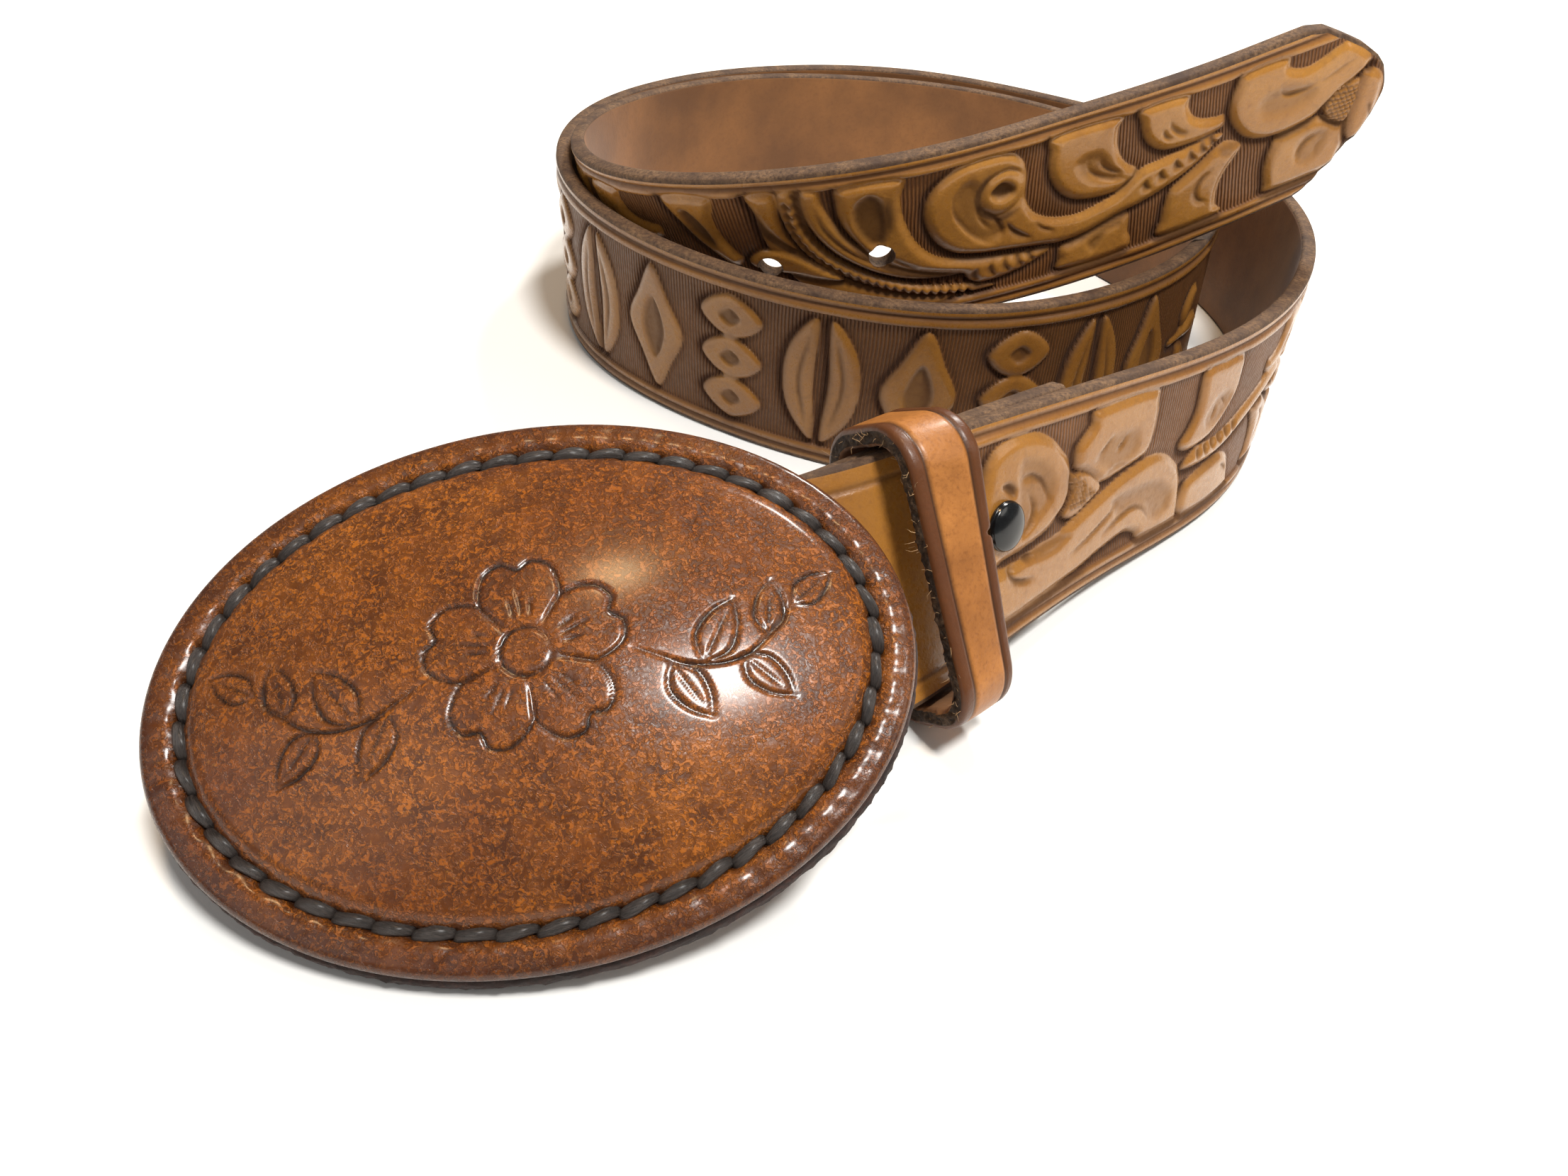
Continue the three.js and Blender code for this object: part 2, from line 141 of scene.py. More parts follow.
def frame_at(s):
    """Origin, along, out and up at one distance."""
    return [a[0] for a in route_frame([s])]


def belt_frame(s):
    """Origin, out and up of the outer face at each distance, round the fold and back too."""
    s = np.asarray(s, float)
    origin, _, out, up = route_frame(np.minimum(s, ROUTE_LENGTH))
    past = s - ROUTE_LENGTH
    end_origin, end_along, end_out, _ = frame_at(ROUTE_LENGTH)
    bar = end_origin - end_out * (THICK + INNER_BEND)
    bend = (past > 0) & (past < BEND_LENGTH)
    angle = (past[bend] / BEND_LENGTH * math.pi)[:, None]
    turned = end_out * np.cos(angle) + end_along * np.sin(angle)
    origin[bend] = bar + turned * (INNER_BEND + THICK)
    out[bend] = turned
    back = past >= BEND_LENGTH
    if back.any():
        way = past[back] - BEND_LENGTH
        gap = FOLD_GAP + (2 * INNER_BEND - FOLD_GAP) * (1 - smooth(way / FOLD_WEDGE))
        o, _, n, u = route_frame(ROUTE_LENGTH - way)
        origin[back] = o - n * (2 * THICK + gap)[:, None]
        out[back], up[back] = -n, u
    return origin, out, up


# Meshes

def add_object(name, data):
    obj = bpy.data.objects.new(name, data)
    bpy.context.scene.collection.objects.link(obj)
    return obj


def piece(name, points, faces, materials, face_material=None, layers=None, sharp=None):
    """New object from points in millimetres, with one value a point for each named layer."""
    mesh = bpy.data.meshes.new(name)
    points = np.asarray(points, float) * MM
    mesh.from_pydata(points.tolist(), [], faces.tolist() if isinstance(faces, np.ndarray) else faces)
    for layer, values in (layers or {}).items():
        values = np.asarray(values, np.float32)
        kind, key = ("FLOAT", "value") if values.ndim == 1 else ("FLOAT_VECTOR", "vector")
        mesh.attributes.new(layer, kind, "POINT").data.foreach_set(key, values.ravel())
    for material in materials:
        mesh.materials.append(material)
    if face_material is not None:
        mesh.polygons.foreach_set("material_index", np.asarray(face_material, np.int32))
    mesh.shade_smooth()
    if sharp is not None:
        edges = np.empty(len(mesh.edges) * 2, np.int32)
        mesh.edges.foreach_get("vertices", edges)
        hard = sharp[edges.reshape(-1, 2)].all(axis=1)
        mesh.attributes.new("sharp_edge", "BOOLEAN", "EDGE").data.foreach_set("value", hard)
    mesh.update()
    obj = add_object(name, mesh)
    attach(obj, "root")
    return obj


def ring_faces(rings, count, closed=False):
    """Quads between rings of points that each have the same count."""
    last = rings if closed else rings - 1
    a = (np.arange(last)[:, None] * count + np.arange(count)[None]).ravel()
    b = (np.arange(last)[:, None] * count + (np.arange(count)[None] + 1) % count).ravel()
    total = rings * count
    return np.column_stack([a, b, (b + count) % total, (a + count) % total])


def tube_faces(rings, count, flip=False):
    """Quads between rings of points and a face over each end, turned over where flip says so."""
    total = rings * count
    ends = [list(range(count))[::-1], list(range(total - count, total))]
    faces = ring_faces(rings, count).tolist() + ends
    return [face[::-1] for face in faces] if flip else faces


# Curves and outlines in the belt's flat plane

def curve(points, closed=True, step=0.5):
    """Smooth line through the points, sampled about every step."""
    p = np.asarray(points, float)
    n = len(p)
    if closed:
        p = np.vstack([p[-1], p, p[0], p[1]])
        spans = n
    else:
        p = np.vstack([2 * p[0] - p[1], p, 2 * p[-1] - p[-2]])
        spans = n - 1
    out = []
    for k in range(spans):
        a, b, c, d = p[k:k + 4]
        count = max(2, int(np.linalg.norm(c - b) / step))
        u = np.arange(count)[:, None] / count
        out.append(0.5 * (2 * b + (c - a) * u + (2 * a - 5 * b + 4 * c - d) * u ** 2
                          + (3 * b - a - 3 * c + d) * u ** 3))
    if not closed:
        out.append(p[-2:-1])
    return np.vstack(out)


def distance_to(px, py, line, closed):
    """Distance to a line of points, the side it is on, how far along, and the direction away from it."""
    start = line if closed else line[:-1]
    end = np.roll(line, -1, axis=0) if closed else line[1:]
    best = np.full(px.shape, 1e9)
    side, along, away_x, away_y = (np.zeros(px.shape) for _ in range(4))
    for k, (a, b) in enumerate(zip(start, end)):
        d = b - a
        u = np.clip(((px - a[0]) * d[0] + (py - a[1]) * d[1]) / (d @ d + 1e-12), 0, 1)
        dx, dy = px - a[0] - u * d[0], py - a[1] - u * d[1]
        gap = np.hypot(dx, dy)
        near = gap < best
        best = np.where(near, gap, best)
        side = np.where(near, np.sign(d[0] * (py - a[1]) - d[1] * (px - a[0])), side)
        along = np.where(near, (k + u) / len(start), along)
        away_x, away_y = np.where(near, dx, away_x), np.where(near, dy, away_y)
    return best, side, along, away_x / (best + 1e-9), away_y / (best + 1e-9)


def inside(px, py, line):
    hit = np.zeros(px.shape, bool)
    for a, b in zip(line, np.roll(line, -1, axis=0)):
        cross = (a[1] > py) != (b[1] > py)
        x = a[0] + (py - a[1]) / (b[1] - a[1] + 1e-12) * (b[0] - a[0])
        hit ^= cross & (px < x)
    return hit


class Relief:
    """Height, raised tone and darkness of a tooled face over a grid of places (s, v)."""

    def __init__(self, s, v):
        self.s, self.v = s, v
        self.height = np.zeros(s.shape)
        self.raised = np.zeros(s.shape)
        self.dark = np.zeros(s.shape)

    def near(self, line, margin):
        low, high = line.min(axis=0) - margin, line.max(axis=0) + margin
        return np.nonzero((self.s > low[0]) & (self.s < high[0]) & (self.v > low[1]) & (self.v < high[1]))

    def depth_in(self, at, line):
        """How deep each place lies inside an outline, and how far its side turns from the light."""
        s, v = self.s[at], self.v[at]
        gap, _, _, away_s, away_v = distance_to(s, v, line, True)
        sign = np.where(inside(s, v, line), 1, -1)
        return sign * gap, -sign * (LIGHT_ALONG * away_s + LIGHT_ACROSS * away_v)

    def darken(self, at, shade):
        self.dark[at] = np.maximum(self.dark[at], shade)

    def shape(self, points, top=0.0, roundness=0.78, soft=2.5, cut=0.5):
        """Raised form, rounded inside its outline, the ground bevelled deeper on the side turned from the
        light, with a burnished dark outline all round and painted shade added on that side.
        """
        line = curve(points)
        at = self.near(line, 4.0)
        if not len(at[0]):
            return
        d, turned = self.depth_in(at, line)
        turned_from_light = smooth(turned, -0.35, 0.6)
        outer = self.height[at] - cut * (0.35 + 0.65 * turned_from_light) * np.exp(-(np.maximum(-d, 0) / 2.2) ** 2 * 3)
        inner = top - roundness * (1 - smooth(d / soft)) ** 2
        mix = smooth(d, -0.25, 0.15)
        self.height[at] = outer * (1 - mix) + inner * mix
        self.raised[at] = self.raised[at] * (1 - mix) + mix
        # Painted shade: the outline is darkened much more on the side turned from the light, over a weaker
        # burnished outline all round
        shade = (0.2 + 0.8 * turned_from_light) * bell(d + 0.45, 0.6) + 0.6 * turned_from_light * bell(d, 2.0) * (d < 0)
        shade += 0.45 * turned_from_light * bell(d, 0.9) * (d > 0)
        self.dark[at] = np.maximum(self.dark[at] * (1 - mix), np.clip(shade, 0, 1))

    def hollow(self, points, depth=0.35, soft=1.4, shade=0.35):
        """Softly pressed hollow, darkest under the edge that the light doesn't reach."""
        line = curve(points)
        at = self.near(line, 1.0)
        if not len(at[0]):
            return
        d, turned = self.depth_in(at, line)
        press = smooth(d, -0.4, soft)
        self.height[at] -= depth * press
        rim = bell(d - 0.8, 1.1) * smooth(-turned, -0.2, 0.7) * 0.5
        self.darken(at, np.clip(shade * (press + rim), 0, 1))

    def line(self, points, depth=0.35, width=0.7, shade=0.8, side=1):
        """Cut line that fades at its ends, with the leather bevelled down on one side of it."""
        path = curve(points, closed=False, step=0.4)
        at = self.near(path, 2.5)
        if not len(at[0]):
            return
        gap, which, along, _, _ = distance_to(self.s[at], self.v[at], path, False)
        fade = np.sin(np.clip(along, 0.02, 0.98) * math.pi) ** 0.5
        bevel = which * side > 0
        profile = np.where(bevel, np.exp(-(gap / width) ** 2 * 1.5), bell(gap, 0.28))
        self.height[at] -= depth * profile * fade
        self.darken(at, shade * fade * np.where(bevel, bell(gap, 0.9 * width), bell(gap, 0.3)))

    def dent(self, s, v, angle, long, wide, depth, shade=0.8):
        """Crescent stamp, pressed deeper at its hollow side."""
        at = np.nonzero((abs(self.s - s) < 3) & (abs(self.v - v) < 3))
        x, y = self.s[at] - s, self.v[at] - v
        c, n = math.cos(angle), math.sin(angle)
        a, b = x * c + y * n, -x * n + y * c
        b = b - 0.25 * a ** 2 / long
        press = bell(a, long, 4) * np.exp(-np.where(b > 0, b / (wide * 0.45), b / wide) ** 2)
        self.height[at] -= depth * press
        self.darken(at, shade * press)

    def seed(self, s, v, radius):
        """Small round knob with a dark ring round it."""
        at = np.nonzero((abs(self.s - s) < 1.5) & (abs(self.v - v) < 1.5))
        gap = np.hypot(self.s[at] - s, self.v[at] - v)
        knob = bell(gap, radius, 4)
        self.height[at] += 0.35 * knob - 0.15 * bell(gap - radius, 0.2)
        self.dark[at] *= 1 - 0.6 * knob
        self.darken(at, 0.6 * bell(gap - radius * 1.15, 0.2))


class Motif:
    """Draws on a relief with the pattern moved along the belt, or turned over along or across it."""

    def __init__(self, relief, shift=0.0, along=1, across=1):
        self.r, self.shift, self.along, self.across = relief, shift, along, across

    def put(self, points):
        return [(self.shift + self.along * s, self.across * v) for s, v in points]

    def shape(self, points, **look):
        self.r.shape(self.put(points), **look)

    def hollow(self, points, **look):
        self.r.hollow(self.put(points), **look)

    def line(self, points, side=1, **look):
        self.r.line(self.put(points), side=side * self.along * self.across, **look)

    def dent(self, s, v, angle, **look):
        angle = math.atan2(self.across * math.sin(angle), self.along * math.cos(angle))
        self.r.dent(*self.put([(s, v)])[0], angle, **look)

    def seed(self, s, v, radius):
        self.r.seed(*self.put([(s, v)])[0], radius)


def borders(r):
    """Ground pressed below the rim, and along each edge a groove, a ridge and an inner groove."""
    across = np.abs(r.v)
    groove = bell(across - GROOVE_AT, GROOVE_WIDE)
    r.height -= 0.65 * (1 - smooth(across, 14.7, 15.3))
    r.height -= 0.45 * groove + 0.15 * smooth(across, 15.6, 16.6)
    r.height -= 0.3 * smooth(across, 17.4, WIDTH / 2)
    r.raised += (0.75 * smooth(across, GROUND_EDGE, 15.3) - 0.4 * smooth(across, 15.8, 16.3)
                 + 0.45 * smooth(across, 17.2, 17.7))
    r.dark += 0.9 * groove + 0.5 * bell(across - GROUND_EDGE, 0.35)


def tip_flower(m):
    """Flower with a seeded heart, next to the tip."""
    m.shape([(22.2, -1.9), (24, -5), (24.9, -9), (24.6, -12.6), (23.6, -14.7), (9.4, -14.7), (7, -11.4),
             (6.4, -8), (7.2, -4.6), (9.4, -3.8), (12, -1.8), (15, -1.2), (19, -1.6)])
    m.hollow([(18.8, -6), (18.6, -9.4), (16, -11.8), (13, -10.8), (11, -7.4), (10.6, -4.6), (14, -3.6),
              (17, -4)], depth=0.4, soft=2, shade=0.3)
    m.line([(17, -10), (17.1, -8.2), (15.8, -6.4), (13.2, -5)], side=-1, depth=0.45, width=1.1)
    m.line([(13.6, -9.8), (13, -8), (11.6, -6.6)], side=-1, depth=0.25, shade=0.5)
    m.shape([(30.4, 15.3), (32.4, 12.6), (33.4, 9.4), (33.2, 6.4), (31.8, 3.6), (29.4, 0.8), (26, -0.9),
             (22, -1.6), (18, -1.4), (14.4, -0.6), (11.6, 0.8), (9, 3.2), (6.4, 4.8), (4.6, 6.4),
             (4.2, 8.6), (6, 11), (9.2, 13.6), (11.6, 13.2), (13.8, 12.2), (16.6, 11.3), (18.8, 11.6),
             (20.8, 12.8), (21.6, 15.3)])
    m.hollow([(28.2, 6.2), (27, 8.8), (24, 9.6), (20, 9), (17, 7.6), (14.4, 6.2), (15.6, 3.4), (19, 2),
              (23, 2.2), (26.6, 3.4)], depth=0.45, soft=2.6, shade=0.3)
    m.line([(22.6, 8.9), (22, 7.6), (20.4, 6.6), (17.6, 6.5), (15.4, 7.1)], side=-1, depth=0.5, width=1.1)
    m.line([(14.4, 7), (11.4, 8.3), (8, 9.8)], depth=0.2, width=0.5, shade=0.45)
    m.shape([(5.2, 4.8), (6, 2), (6.2, -1), (6.6, -4), (6.5, -7), (5.2, -9.6), (3.2, -9.8), (1.4, -6.6),
             (0.2, -2), (0.3, 2.6), (1.8, 5), (3.6, 5.8)])
    m.line([(2.6, -1.4), (2, -3.2), (1.4, -5)], depth=0.3)
    m.hollow([(5.4, 5.8), (3.9, 4.9), (2.6, 6.4), (3.6, 7.8)], depth=0.5, soft=0.7, shade=0.95)
    m.shape([(12.4, 0.4), (9.4, 3), (5.8, 4.4), (6, 1), (6.4, -2.6), (7.4, -4.4), (9.4, -3.6),
             (11.6, -1.8)], top=-0.25, roundness=0.2)
    for row in range(9):
        for k in range(8):
            s, v = 5.9 + 1.0 * k + 0.5 * (row % 2), -3.8 + 0.95 * row
            if ((s - 8.8) / 3.3) ** 2 + ((v - 0.1) / 4.1) ** 2 < 1:
                m.seed(s, v, 0.42)


def leaves(m):
    """Leaves that run on from the flower, up to the scroll with its round eye."""
    m.shape([(30.3, -0.7), (31.8, -2.8), (33.8, -5.4), (35, -8.6), (35.2, -12), (34.6, -14.7),
             (47.3, -14.7), (47.2, -11), (46.6, -7.4), (45.6, -4.8), (43.4, -3.2), (41, -2), (38.6, -0.6),
             (36.6, 0.8), (34, 1.9), (31.6, 0.9)])
    m.hollow([(30.9, -0.4), (32.6, 1.2), (35.6, 0.9), (35.4, -0.8), (33.4, -1.7)], depth=0.25, soft=0.8)
    m.line([(37.9, -10), (39.5, -8.8), (39.9, -7), (38.9, -5), (36.9, -3.7)], side=-1, depth=0.5, width=1.1)
    m.shape([(54.7, -6.9), (55.6, -5.7), (58.4, -6.1), (62, -7.2), (66, -8.3), (69.6, -9.4), (70, -12),
             (69.2, -14.7), (54.9, -14.7), (54.7, -10)])
    m.hollow([(56.6, -7), (60, -7.4), (63.6, -8.6), (64.6, -10.2), (62.8, -12.4), (61.2, -11.2),
              (59.6, -9.2), (57, -8.6)], soft=1, shade=0.5)
    m.line([(62.9, -12.6), (62.8, -11), (61.4, -9.5)], side=-1, shade=0.6)
    m.shape([(53.8, 15.3), (53.7, 12), (52.8, 9), (50.9, 6.6), (48, 4.9), (44.4, 4.3), (40.4, 4.2),
             (36.4, 4.7), (34.2, 6), (34.4, 7.8), (37, 8.3), (39.6, 8.9), (42, 10.4), (43.2, 12.8),
             (43.7, 15.3)])
    m.line([(47.4, 10.8), (46.9, 9.4), (45.2, 7.8), (43.2, 6.8)], side=-1, depth=0.4, width=0.9)
    m.line([(48.9, 9.5), (48.2, 8), (46.8, 7)], side=-1, depth=0.4)
    m.shape([(73.6, 15.3), (74.4, 12), (74.2, 8.4), (73, 5.4), (70.8, 2.6), (68, 0.7), (64.6, -0.3),
             (60, -0.8), (55.6, -0.5), (53.4, 1.2), (54, 3.2), (56.2, 4.8), (58, 7.2), (58.9, 10),
             (59, 12.8), (58.8, 15.3)])
    m.hollow([(68.8, 8.4), (66.6, 10), (63, 9.9), (60.8, 8), (58.9, 5), (57, 3.2), (57.6, 1.9), (61, 1.9),
              (65, 3.2), (67.8, 5.6)], depth=0.5, soft=2.2, shade=0.4)
    m.line([(65.5, 7.6), (65, 5.8), (63, 4.1), (60, 2.7), (57, 2)], side=-1, depth=0.5, width=0.9)
    m.line([(62.6, 7.6), (62, 6), (60, 4.5), (57.4, 3.3)], side=-1, depth=0.45, width=0.8)
    m.shape([(34.6, 3.6), (36.6, 1.9), (39, 0), (42, -1.7), (45, -3), (49, -4.3), (53, -5.3), (57, -5.9),
             (61, -6.9), (65, -7.9), (70, -8.2), (76, -7.4), (82, -6.6), (88, -5.8), (93, -4.4), (97, -1.6),
             (99.4, 2), (100.4, 6), (99.8, 9.6), (97.4, 12.6), (93.6, 14.8), (88, 15.3), (83.4, 14.6),
             (80.6, 12.4), (79.4, 9.6), (79.2, 6.6), (79, 4), (77, 0.8), (74, -1.2), (70, -2.4), (66, -2.7),
             (61, -1.9), (57.4, -0.8), (55, 1.1), (52, 2.9), (48, 3.2), (44, 3.5), (40, 3.9), (36.6, 4.3)])
    for s, v in ((36.8, 3.1), (39, 2.3), (41.6, 1.6), (44.8, 0.9), (48.2, -0.3), (51.6, -1.4)):
        m.dent(s, v, angle=1.15, long=1.2, wide=1.0, depth=0.55, shade=0.95)
    m.hollow([(95.4, 8.2), (94, 11), (91.4, 11.8), (89.2, 9.8), (88.4, 5.4), (86, 2), (83.6, 0),
              (82.8, -2.4), (85.6, -3.9), (89.4, -2.6), (92.8, 1.2), (94.8, 4.8)], depth=0.6, soft=2.2,
             shade=0.45)
    m.shape([(89.3, 7), (87.8, 10.4), (84.3, 11.8), (80.9, 10.4), (79.5, 7), (80.9, 3.4), (84.4, 2),
             (87.9, 3.6)], cut=0.35, roundness=0.6)
    m.hollow([(87.3, 7.6), (84.9, 9.3), (82.2, 7.9), (82, 6.1), (84.4, 5.1), (86.7, 6)], depth=1.1,
             soft=1.2, shade=1)
    m.line([(95, 8.6), (94.6, 5), (92.4, 1.6), (89.8, -1.2), (86.6, -3.4)], side=-1, depth=0.5, width=0.9)
    m.line([(89.8, 4.6), (88.9, 2.2), (86.8, -0.4)], side=-1, depth=0.4, shade=0.7)
    m.line([(88.6, 4.4), (85.8, 2), (83.9, -0.4), (83.5, -2.6)], depth=0.5, width=1.3, shade=1)
    m.line([(83, 0.2), (80.8, -2.2), (77.2, -4.6)], depth=0.6, width=1.2, shade=0.9)
    m.line([(76.4, -1.6), (74.6, -3.2), (72, -4.6)], shade=0.7)
    m.line([(95, -4.2), (88, -5.6), (80, -6.6), (72, -7.6)], depth=0.3, width=1.2)


def oval_leaf(m):
    """Tall hollow leaf in a braided band, with the leaf tips beyond it."""
    m.shape([(127.4, 15.2), (126.6, 9), (124.8, 3), (121.4, -2), (116.2, -6), (109.4, -9.6), (101.4, -12.3),
             (92, -14), (97, -15), (108, -14.4), (118, -10.6), (126, -5), (129.6, 2), (130.8, 9),
             (131, 15.2)], top=-0.2, roundness=0.2)
    m.shape([(126, 15.2), (126, 9), (124.2, 3), (120.6, -2), (115.4, -6), (108.4, -9.8), (100, -12.6),
             (90, -14), (84, -13.8), (92, -11.8), (100, -10.4), (107.4, -7.6), (113.6, -3.8), (118.6, 0.4),
             (121.2, 5), (122, 10), (122, 15.2)], top=-0.05, roundness=0.35, soft=1.6)
    way = curve([(124, 14), (123.8, 8), (122, 3.2), (118.6, -1.2), (113.6, -5), (107, -8.6), (99.4, -11.4),
                 (91, -12.9), (86, -13.4)], closed=False, step=0.2)
    steps = running_length(way)
    for k in range(int(steps[-1] / 2.1)):
        s, v = (np.interp(1 + 2.1 * k, steps, way[:, i]) for i in (0, 1))
        m.dent(s + 0.7, v - 0.9, angle=1.1, long=1.2, wide=0.8, depth=0.8, shade=0.95)
        m.dent(s - 0.9, v + 1.0, angle=1.1, long=1.1, wide=0.7, depth=0.7, shade=0.95)
    m.shape([(121.9, 15), (122, 10), (120.6, 5.4), (117.6, 0.8), (113.4, -2.9), (108.4, -5.9),
             (102.6, -8.1), (96.4, -9.2), (91, -9.5), (88.6, -9), (94, -8.3), (100, -6.8), (105.8, -4),
             (110.6, -0.8), (114.4, 3), (117, 7.6), (118.6, 12), (119, 15)], roundness=0.5, soft=1.5)
    m.line([(119.7, 11), (118.8, 7), (116, 2.4), (112, -1.6), (107, -4.8)], depth=0.3, shade=0.7)
    m.shape([(115.2, 15.2), (116.2, 11.6), (115.9, 8), (114.6, 4.6), (112.6, 1.4), (111, -0.8), (108, -3.4),
             (104, -5.6), (99, -7.4), (94, -8.7), (91, -9.6), (89.6, -11.4), (87, -12.6), (82, -12.3),
             (77, -11.2), (72.6, -9.4), (72.4, -8.4), (78, -8.1), (85, -7.1), (92, -5.8), (96.4, -4.4),
             (99.4, -2.4), (101.8, 0.4), (103.4, 3.6), (104.6, 7.4), (104.9, 11), (104.8, 15.2)])
    for s, v in ((88.6, -10.2), (85.2, -9.9), (82, -9.7), (79, -9.4), (76.4, -9)):
        m.dent(s, v, angle=1.3, long=1.4, wide=1.0, depth=0.6, shade=0.95)
    m.hollow([(113.8, 8.6), (113, 11.4), (110.6, 13), (108.2, 11.6), (107.1, 8), (107, 3.6), (108.2, 0.8),
              (110.6, 0.6), (112.6, 3.2), (113.7, 6)], depth=1.0, soft=1.5, shade=0.75)
    m.line([(107.6, 11.6), (107.2, 7), (107.6, 3)], side=-1, depth=0.4, width=1.6, shade=0.9)
    m.line([(106.6, -2.2), (104.6, -3.8), (101.4, -5.8)], side=-1, shade=0.7)
    m.shape([(131.8, 15.2), (130.9, 11), (129.4, 7), (127, 4), (124.9, 2.4), (126.4, 6), (126.6, 10),
             (126.6, 15.2)], top=-0.1)
    m.shape([(134.6, 0.4), (132, 2.4), (129, 2.6), (125.4, 1.2), (121.6, -1.6), (116.6, -5.8), (121, -5.2),
             (125.6, -3.6), (130, -2.6), (133.4, -1.4)], roundness=0.5, soft=1.4)
    m.shape([(138.9, 15.2), (139.4, 10), (138.6, 6), (136.6, 2.2), (135.8, 0.6), (138, -1), (142, 2.6),
             (146, 8), (149, 15.2)])
    m.hollow([(146, 11.6), (144, 12.4), (141.4, 8.8), (140.2, 4.6), (141.6, 3.6), (144.4, 6.8)], depth=0.9,
             soft=1.2, shade=0.9)
    m.shape([(144, -0.6), (138, -3.6), (131, -6.2), (124, -9.4), (118, -12.8), (124, -14.9), (134, -15),
             (142, -11), (146.6, -5.4)], top=-0.1)
    m.line([(141, -3.4), (134, -7), (126, -11)], depth=0.3)


def end_flower(m):
    """Half flower with a seeded heart, where the tooling ends near the buckle."""
    m.shape([(1093, 9.5), (1092, 12), (1089.5, 14), (1085, 14.9), (1080.5, 14.2), (1077, 12.3),
             (1074.5, 10), (1072.2, 7.5), (1070.6, 4.7), (1071.3, 1.5), (1072.6, -0.8), (1075, -2.4),
             (1078, -3.8), (1083, -4.6), (1089, -5), (1094, -5.5), (1095, 2)])
    m.hollow([(1085, 10.6), (1080, 9.9), (1076.2, 6.4), (1075.6, 3.2), (1077.6, 0.4), (1081, -1.4),
              (1085, -2.6), (1086, 4)], depth=0.4, soft=2, shade=0.3)
    m.line([(1084.6, 7.6), (1082, 7.7), (1079.4, 6.2), (1077.7, 4), (1076.6, 1.5)], depth=0.55, width=1.1,
           shade=0.95)
    m.line([(1082.8, 4.9), (1081.3, 3), (1081, 1), (1082, -0.8), (1084.8, -2.2)], depth=0.5, width=1.0)
    m.hollow([(1089.4, 7.4), (1087.6, 7.8), (1086, 6.4), (1087, 5.2)], depth=0.6, soft=0.8, shade=0.95)
    m.shape([(1066.2, 14.6), (1058, 15.2), (1049, 14.9), (1047.9, 12.8), (1047.4, 10), (1047.6, 5.6),
             (1048.8, 3), (1051, 2), (1056, 1.2), (1062.5, 0.6), (1064.5, 2.4), (1067, 4), (1070, 5.3),
             (1070.6, 7.5), (1070.3, 9.2), (1068.6, 10.8), (1066.8, 12.4)])
    m.hollow([(1066, 5.2), (1063.5, 8), (1060, 9.5), (1054, 8.9), (1052.2, 6), (1054, 3), (1060, 2.2)],
             soft=2, shade=0.3)
    m.line([(1064.4, 6.2), (1062.6, 7.5), (1060.8, 9.2)])
    m.line([(1059, 5.9), (1057.3, 7), (1056.4, 8.5)], depth=0.4)
    m.line([(1062.4, 2), (1058, 3), (1054.4, 2.6)], depth=0.3, shade=0.4)
    m.shape([(1071.2, 4.4), (1067.6, 4), (1064.4, 2.2), (1062.2, -0.2), (1066.4, -2.4), (1070, -3.4),
             (1073, -2.2), (1071.6, -0.4), (1070.6, 2)], top=-0.25, roundness=0.2)
    for row in range(9):
        for k in range(10):
            s, v = 1062.6 + 1.0 * k + 0.5 * (row % 2), -3 + 0.9 * row
            if -2.2 + 0.35 * abs(1068.6 - s) < v < 4.4 - 0.62 * (1070.8 - s) and s < 1071.4:
                m.seed(s, v, 0.4)
    m.shape([(1094, -6.6), (1086, -6.2), (1080, -5.6), (1074, -5), (1070, -4), (1066, -2.8), (1060, -0.9),
             (1056, 0.3), (1050, 1.4), (1047, 1.8), (1044, 1.5), (1041, 0.3), (1038.5, -1.4), (1036, -3.6),
             (1034.6, -6.4), (1033.6, -10), (1033.2, -13), (1033.6, -15), (1045.4, -15), (1048, -13.2),
             (1051, -12.1), (1054, -12.2), (1060, -13.2), (1070, -14.7), (1094, -15)])
    m.hollow([(1058.6, -3.4), (1052, -2.6), (1045, -3), (1040.4, -5), (1037.2, -8), (1038, -11.6),
              (1042, -12.6), (1044.8, -11.2), (1047, -8.6), (1051, -7.4), (1056, -8)], depth=0.5, soft=2.2)
    m.line([(1060, -9.6), (1055, -8), (1051, -7.2), (1048, -8), (1045.6, -9.8), (1044.4, -11.2)], side=-1,
           depth=0.4, width=0.8)
    m.line([(1070, -9.8), (1065, -8.6), (1060, -6.6), (1057, -5), (1055.4, -3.6)], depth=0.4, shade=0.7)
    m.hollow([(1083.6, -5.9), (1080, -8), (1074, -8), (1070, -6.2), (1074, -5.2)], depth=0.4, soft=1)
    m.hollow([(1084.4, -6), (1082.6, -7.4), (1080.6, -6.6), (1082, -5.7)], depth=0.4, soft=0.7, shade=0.8)
    m.line([(1086, -6), (1087.6, -7.2), (1086.8, -8.6), (1084.4, -9.6), (1081.6, -10.2)], depth=0.6,
           width=1.0, shade=0.95)


